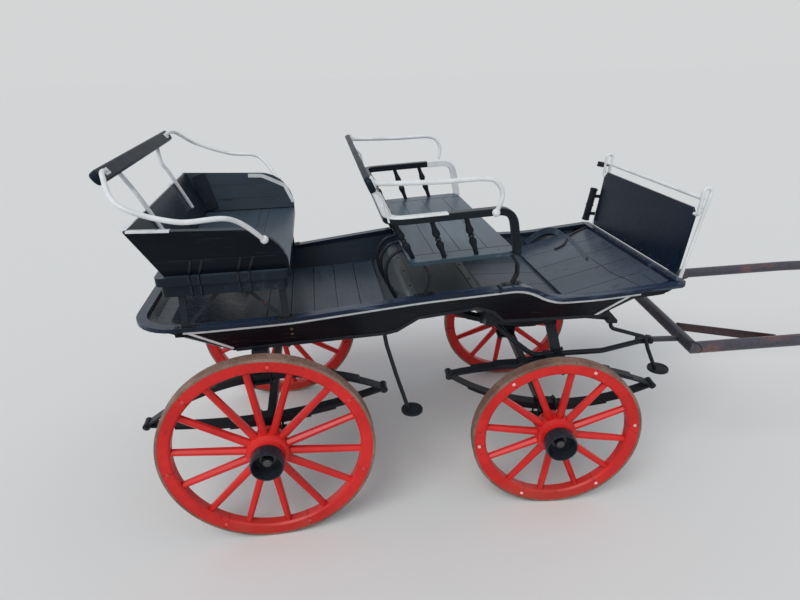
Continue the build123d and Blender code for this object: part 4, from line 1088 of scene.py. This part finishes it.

# Driver's seat: white on the arm rail (worn white paint, and on the near rear corner's top also painted sky
# reflection), seams and screws

COAT = 0.0012
SCREW_IN = 0.035

patches = Batch()
over_arm = flat_section(ARM_SECTION[0] + COAT, ARM_SECTION[1] + COAT)
patches.swept(arm[:12] + [arm[11].lerp(arm[12], 0.22)], over_arm, AHEAD)
# Partly worn white paint, partly painted reflection: white over the top of the near rear corner, where the
# gloss takes the sky
near_corner = [arm[22].lerp(arm[23], 0.6)] + arm[23:34] + [arm[33].lerp(arm[34], 0.45)]
patches.swept(near_corner, [(a, b if b > 0 else 0.006) for a, b in over_arm])
patches.piece("arm_white_patches", "white", "white_rod", 0.002)

seams, screws = Batch(), Batch()
for y in (END_BOARD - SEAT_HALF, SEAT_HALF - END_BOARD):
    seams.block(SEAT @ moved(SEAT_DEEP / 2, y), (SEAT_DEEP - 0.006, SEAM, PROUD * 2))
for share in (0.26, 0.51, 0.77):
    seams.block(SEAT @ moved(SEAT_DEEP * share), (SEAM, 2 * (SEAT_HALF - END_BOARD), PROUD * 2))
for y in (SCREW_IN - SEAT_HALF, SEAT_HALF - SCREW_IN):
    for x in (0.05, 0.14, 0.24, 0.33):
        screws.dome(SEAT @ moved(x, y), 0.0035, 0.3)
seams.piece("driver_seat_seams", "seam", "seat_paint")
screws.piece("driver_seat_screws", "iron", "seat_paint")

# Handrails and struts, bent as the photograph shows them

ROD = ring_of(0.008, 14)
BALL = 0.014
BALL_STEPS = 10
RODS = {
    "front_handrails": [(0.424, 0.494, 1.392), (0.440, 0.495, 1.374), (0.480, 0.496, 1.369),
                        (0.660, 0.497, 1.366), (0.800, 0.496, 1.368), (0.846, 0.494, 1.350),
                        (0.864, 0.490, 1.305), (0.848, 0.482, 1.248)],
    "rear_handrails": [(-0.386, 0.400, 1.434), (-0.366, 0.492, 1.435), (-0.303, 0.600, 1.368),
                       (-0.155, 0.606, 1.314), (-0.010, 0.556, 1.299), (0.074, 0.470, 1.202)],
    "rear_struts": [(-0.392, 0.262, 1.400), (-0.376, 0.225, 1.345), (-0.352, 0.226, 1.300),
                    (-0.284, 0.227, 1.150)],
}

turns = [math.pi * i / BALL_STEPS for i in range(1, BALL_STEPS)]
ball = [(0, BALL)] + [(BALL * math.sin(turn), BALL * math.cos(turn)) for turn in turns] + [(0, -BALL)]
for name, points in RODS.items():
    rods = Batch()
    for sign in (1, -1):
        line = smooth([at(x, sign * y, z) for x, y, z in points], 10)
        rods.swept(line, ROD, (0.3, 0, 1))
        if name.endswith("handrails"):
            rods.turned(ball, Matrix.Translation(line[-1]), 18)
    rods.piece(f"bent_{name}", "white", "white_rod", node=name)

# Backrests: leaning boards, with the rods' flattened ends and their bolts

BACKRESTS = {
    "rear": dict(x=-0.393, z=1.424, half=0.476, high=0.046, thick=0.026, lean=36, rod_y=0.405,
                 plate=(0.040, 0.022, 0.004)),
    "front": dict(x=0.424, z=1.366, half=0.514, high=0.056, thick=0.022, lean=24, rod_y=0.492,
                  plate=(0.036, 0.026, 0.004)),
}


def backrest(seat, x, z, half, high, thick, lean, rod_y, plate):
    """A board with rounded ends, and a white plate with a bolt at each end of its front."""
    lean = math.radians(lean)
    normal = Vector((math.cos(lean), 0, math.sin(lean)))
    place = framed(at(x, 0, z) + normal * thick / 2, ACROSS, normal) @ moved(-half)
    board = rounded_board(place, 2 * half, high / 2, thick, high * 0.46)
    plates, bolts = Batch(), Batch()
    for sign in (1, -1):
        point = at(x, sign * rod_y, z) + normal * (thick / 2 + 0.0015)
        plates.block(framed(point, ACROSS, normal), plate)
        bolts.dome(facing(point + normal * 0.002 - Vector((0, sign * 0.008, 0)), normal), 0.006)
    board.piece(f"rounded_{seat}_backrest", "bar", "seat_paint", 0.006, node=f"{seat}_backrest")
    plates.piece(f"{seat}_rod_plates", "white", "white_rod", 0.0015)
    bolts.piece(f"{seat}_rod_bolts", "white", "white_rod")


for seat_name, form in BACKRESTS.items():
    backrest(seat_name, **form)

# Dashboard: the row of studs at its foot, stubs at the hairpins and bands on the whip socket

DASH_FOOT = (1.648, 0.916)
DASH_LEAN = 0.124
DASH_STUDS_Z = 0.929
DASH_STUDS_Y = (-0.30, -0.235, -0.17, -0.10, -0.03, 0.04, 0.12, 0.20, 0.28)
STUB = ring_of(0.0035, 8)
STUB_HEIGHTS = (1.165, 1.180)
WHIP = BODY @ moved(1.618, 0.398, 0.930) @ tipped(10)
WHIP_BANDS = (0.006, 0.080, 0.158, 0.279, 0.293)
BAND = [(0.0160, -0.004), (0.0185, -0.004), (0.0192, 0), (0.0185, 0.004), (0.0160, 0.004)]

studs, stubs, bands = Batch(), Batch(), Batch()
studs.studs("dash_panel", [at(1.45, y, DASH_STUDS_Z) for y in DASH_STUDS_Y], AHEAD, 0.0060, 0.5)
for sign in (1, -1):
    for z in STUB_HEIGHTS:
        x = DASH_FOOT[0] + DASH_LEAN * (z - DASH_FOOT[1])
        stubs.swept([at(x, sign * 0.362, z), at(x + 0.034, sign * 0.374, z + 0.006)], STUB)
for height in WHIP_BANDS:
    bands.turned(BAND, WHIP @ moved(z=height), 26, looped=True)
studs.piece("dash_studs", "iron", "black_iron")
stubs.piece("hairpin_stubs", "white", "white_rod")
bands.piece("whip_bands", "iron", "black_iron")

# Footwell: the hoop of flat iron, cracks and a dark strip painted as the shadow line along the foot boards'
# far edge

FOOT_LOW = (1.236, 0.806)
FOOT_RISE = 0.2286
HOOP_SECTION = (0.030, 0.004)
CRACK_WIDE = 0.0035
SHADOW_LINE_SECTION = (0.009, 0.008)
# The hoop's points as x, y and height over the foot boards
HOOP = [(1.296, 0.374, 0.010), (1.330, 0.386, 0.026), (1.372, 0.392, 0.038), (1.420, 0.396, 0.037),
        (1.462, 0.384, 0.020), (1.480, 0.340, 0.0025), (1.482, 0.244, 0.0025), (1.468, 0.130, 0.0025),
        (1.453, 0.020, 0.0025)]
CRACKS = [((1.476, 0.010), (1.478, -0.166)), ((1.478, -0.166), (1.498, -0.262)),
          ((1.498, -0.262), (1.516, -0.372)), ((1.566, -0.250), (1.568, -0.378))]
# The painted shadow line: points of a dark strip along the foot boards' far edge, as x and y
SHADOW_LINE = [(1.617, 0.376), (1.512, 0.335), (1.441, 0.247), (1.388, 0.224)]


def on_foot(x, y, lift=0.0):
    """A point on the sloping foot boards."""
    return at(x, y, FOOT_LOW[1] + FOOT_RISE * (x - FOOT_LOW[0]) + lift)


hoop, cracks, shadow_line = Batch(), Batch(), Batch()
hoop.swept(smooth([on_foot(*point) for point in HOOP]), flat_section(*HOOP_SECTION), (0, -1, 0.3))
for start, end in CRACKS:
    a, b = on_foot(*start), on_foot(*end)
    cracks.block(framed((a + b) / 2, b - a, (-0.27, 0, 1)), ((b - a).length, CRACK_WIDE, PROUD * 3))
# Painted shadow: a dark strip laid just over the foot boards along their far edge
shadow_line.swept(smooth([on_foot(x, y, 0.003) for x, y in SHADOW_LINE]), flat_section(*SHADOW_LINE_SECTION))
hoop.piece("foot_hoop", "footboard", "board_paint")
cracks.piece("foot_cracks", "seam", "board_paint")
shadow_line.piece("foot_shadow_line", "shadow_line_dark", "board_paint")

# Steps: a rim round each pad and the dots on it

STEPS = [("body", BODY, 0.560, 0.425, 0.452), ("forecarriage", FORE, 1.664, 0.322, 0.504)]
PAD = 0.042
# The rim's outline: out from the pad's radius, and height
RIM = [(-0.005, 0), (-0.003, 0.0028), (0, 0.0022), (0.001, -0.001), (0.001, -0.007), (-0.003, -0.0085),
       (-0.005, -0.0075)]

for body, place, x, y, z in STEPS:
    rims = Batch()
    for sign in (1, -1):
        pad = place @ moved(x, sign * y, z)
        rims.turned([(PAD + out, height) for out, height in RIM], pad, 36, looped=True)
        for dot_x, dot_y in ring_of(PAD * 0.55, 6):
            rims.dome(pad @ moved(dot_x, dot_y), 0.0032)
    rims.piece(f"step_rims_{body}", "iron", "black_iron", body=body)

# Turntable, side irons and shaft hinge: nuts, clamps and weld beads

RING_RADIUS = 0.325
UNDER_RING = 0.6
RING_NUT = (0.014, 0.007, 0.003)
HINGE = (1.620, 0.290, 0.625)
HINGE_HALF = 0.0165
HINGE_NUT = (0.019, 0.009)
CLAMP = (1.212, 0.358, 0.611)
CLAMP_BAND = (0.030, 0.030, 0.026, 0.005)
CLAMP_PLATE = (0.050, 0.052, 0.006)
CLAMP_NUT = (0.013, 0.007, 0.005)
WELD = (1.760, 0.3795, 0.6316)
WELD_RADIUS = 0.0245
WELD_BEAD = ring_of(0.0021, 8)

ring_bolts = Batch()
for i in range(12):
    turn = math.radians(15 + 30 * i)
    spot = Vector((KINGPIN.x + RING_RADIUS * math.cos(turn), RING_RADIUS * math.sin(turn), UNDER_RING))
    ring_bolts.nut(facing(*touch("turntable_lower", spot, UP), turn), *RING_NUT)
ring_bolts.piece("ring_bolts", "iron", "black_iron", body="forecarriage")

irons, welds = Batch(), Batch()
for sign in (1, -1):
    x, y, z = HINGE
    for way in (1, -1):
        place = FORE @ facing(Vector((x, sign * y + way * HINGE_HALF, z)), (0, way, 0), 0.3)
        irons.nut(place, *HINGE_NUT, 0.004 if way == sign else 0.0)
    x, y, z = CLAMP
    clamp = FORE @ moved(x, sign * y, z)
    irons.clip(clamp, *CLAMP_BAND)
    irons.block(clamp @ moved(z=-0.020), CLAMP_PLATE)
    for shift in (-0.018, 0.018):
        irons.nut(clamp @ moved(shift, 0, 0.018), *CLAMP_NUT)
    x, y, z = WELD
    corner, turn = FORE @ Vector((x, sign * y, z)), FORE.to_3x3()
    bead = [corner + turn @ Vector((a, sign * a, b)) for a, b in ring_of(WELD_RADIUS, 40)]
    welds.swept(bead, WELD_BEAD, turn @ Vector((1, -sign, 0)), looped=True)
irons.piece("hinge_nuts", "iron", "black_iron", body="forecarriage")
welds.piece("shaft_welds", "crossbar", "shaft_iron", body="shafts")

# Floor, light and camera


def make_floor():
    """A wide pale ground that the object stands on."""
    mesh = bpy.data.meshes.new("floor")
    corners = [(x, y, 0) for x, y in flat_section(2 * FLOOR_HALF, 2 * FLOOR_HALF)]
    mesh.from_pydata(corners, [], [(0, 1, 2, 3)])
    mesh.materials.append(Paint("floor_pale").finish(FLOOR, 0.9))
    floor = bpy.data.objects.new("floor", mesh)
    bpy.context.scene.collection.objects.link(floor)


def make_light():
    """An even pale sky and one soft lamp from the upper left behind the camera."""
    world = bpy.data.worlds.new("sky")
    bpy.context.scene.world = world
    nodes = Nodes(world)
    path = nodes.add("ShaderNodeLightPath").outputs
    rays = nodes.math("MAXIMUM", path["Is Camera Ray"], path["Is Glossy Ray"])
    rays = nodes.math("MAXIMUM", rays, path["Is Transmission Ray"])
    lit = nodes.add("ShaderNodeBackground", {0: SKY, 1: SKY_STRENGTH}).outputs[0]
    seen = nodes.add("ShaderNodeBackground", {0: BACKDROP}).outputs[0]
    pick = nodes.add("ShaderNodeMixShader", {0: rays, 1: lit, 2: seen}).outputs[0]
    nodes.add("ShaderNodeOutputWorld", {0: pick})
    lamp = bpy.data.lights.new("soft_sun", "SUN")
    lamp.energy = SUN_STRENGTH
    lamp.angle = SUN_ANGLE
    lamp.color = SUN_COLOUR
    sun = bpy.data.objects.new("soft_sun", lamp)
    sun.rotation_euler = [math.radians(angle) for angle in SUN_TURN]
    bpy.context.scene.collection.objects.link(sun)


def make_camera():
    """The place and lens that the photograph was taken with."""
    level = Vector((math.sin(CAMERA_YAW), math.cos(CAMERA_YAW), 0))
    ahead = level * math.cos(CAMERA_DOWN) - UP * math.sin(CAMERA_DOWN)
    right = Vector((math.cos(CAMERA_YAW), -math.sin(CAMERA_YAW), 0))
    up = right.cross(ahead)
    turned_right = right * math.cos(CAMERA_ROLL) + up * math.sin(CAMERA_ROLL)
    turned_up = up * math.cos(CAMERA_ROLL) - right * math.sin(CAMERA_ROLL)
    data = bpy.data.cameras.new("camera")
    data.sensor_width = SENSOR
    data.lens = SENSOR * CAMERA_FOCUS / PHOTO_WIDTH
    data.clip_end = 200
    camera = bpy.data.objects.new("camera", data)
    turn = Matrix((turned_right, turned_up, -ahead)).transposed().to_4x4()
    camera.matrix_world = Matrix.Translation(at(*CAMERA_AT)) @ turn
    bpy.context.scene.collection.objects.link(camera)
    bpy.context.scene.camera = camera


make_floor()
make_light()
make_camera()
bpy.context.scene.view_settings.view_transform = "Standard"
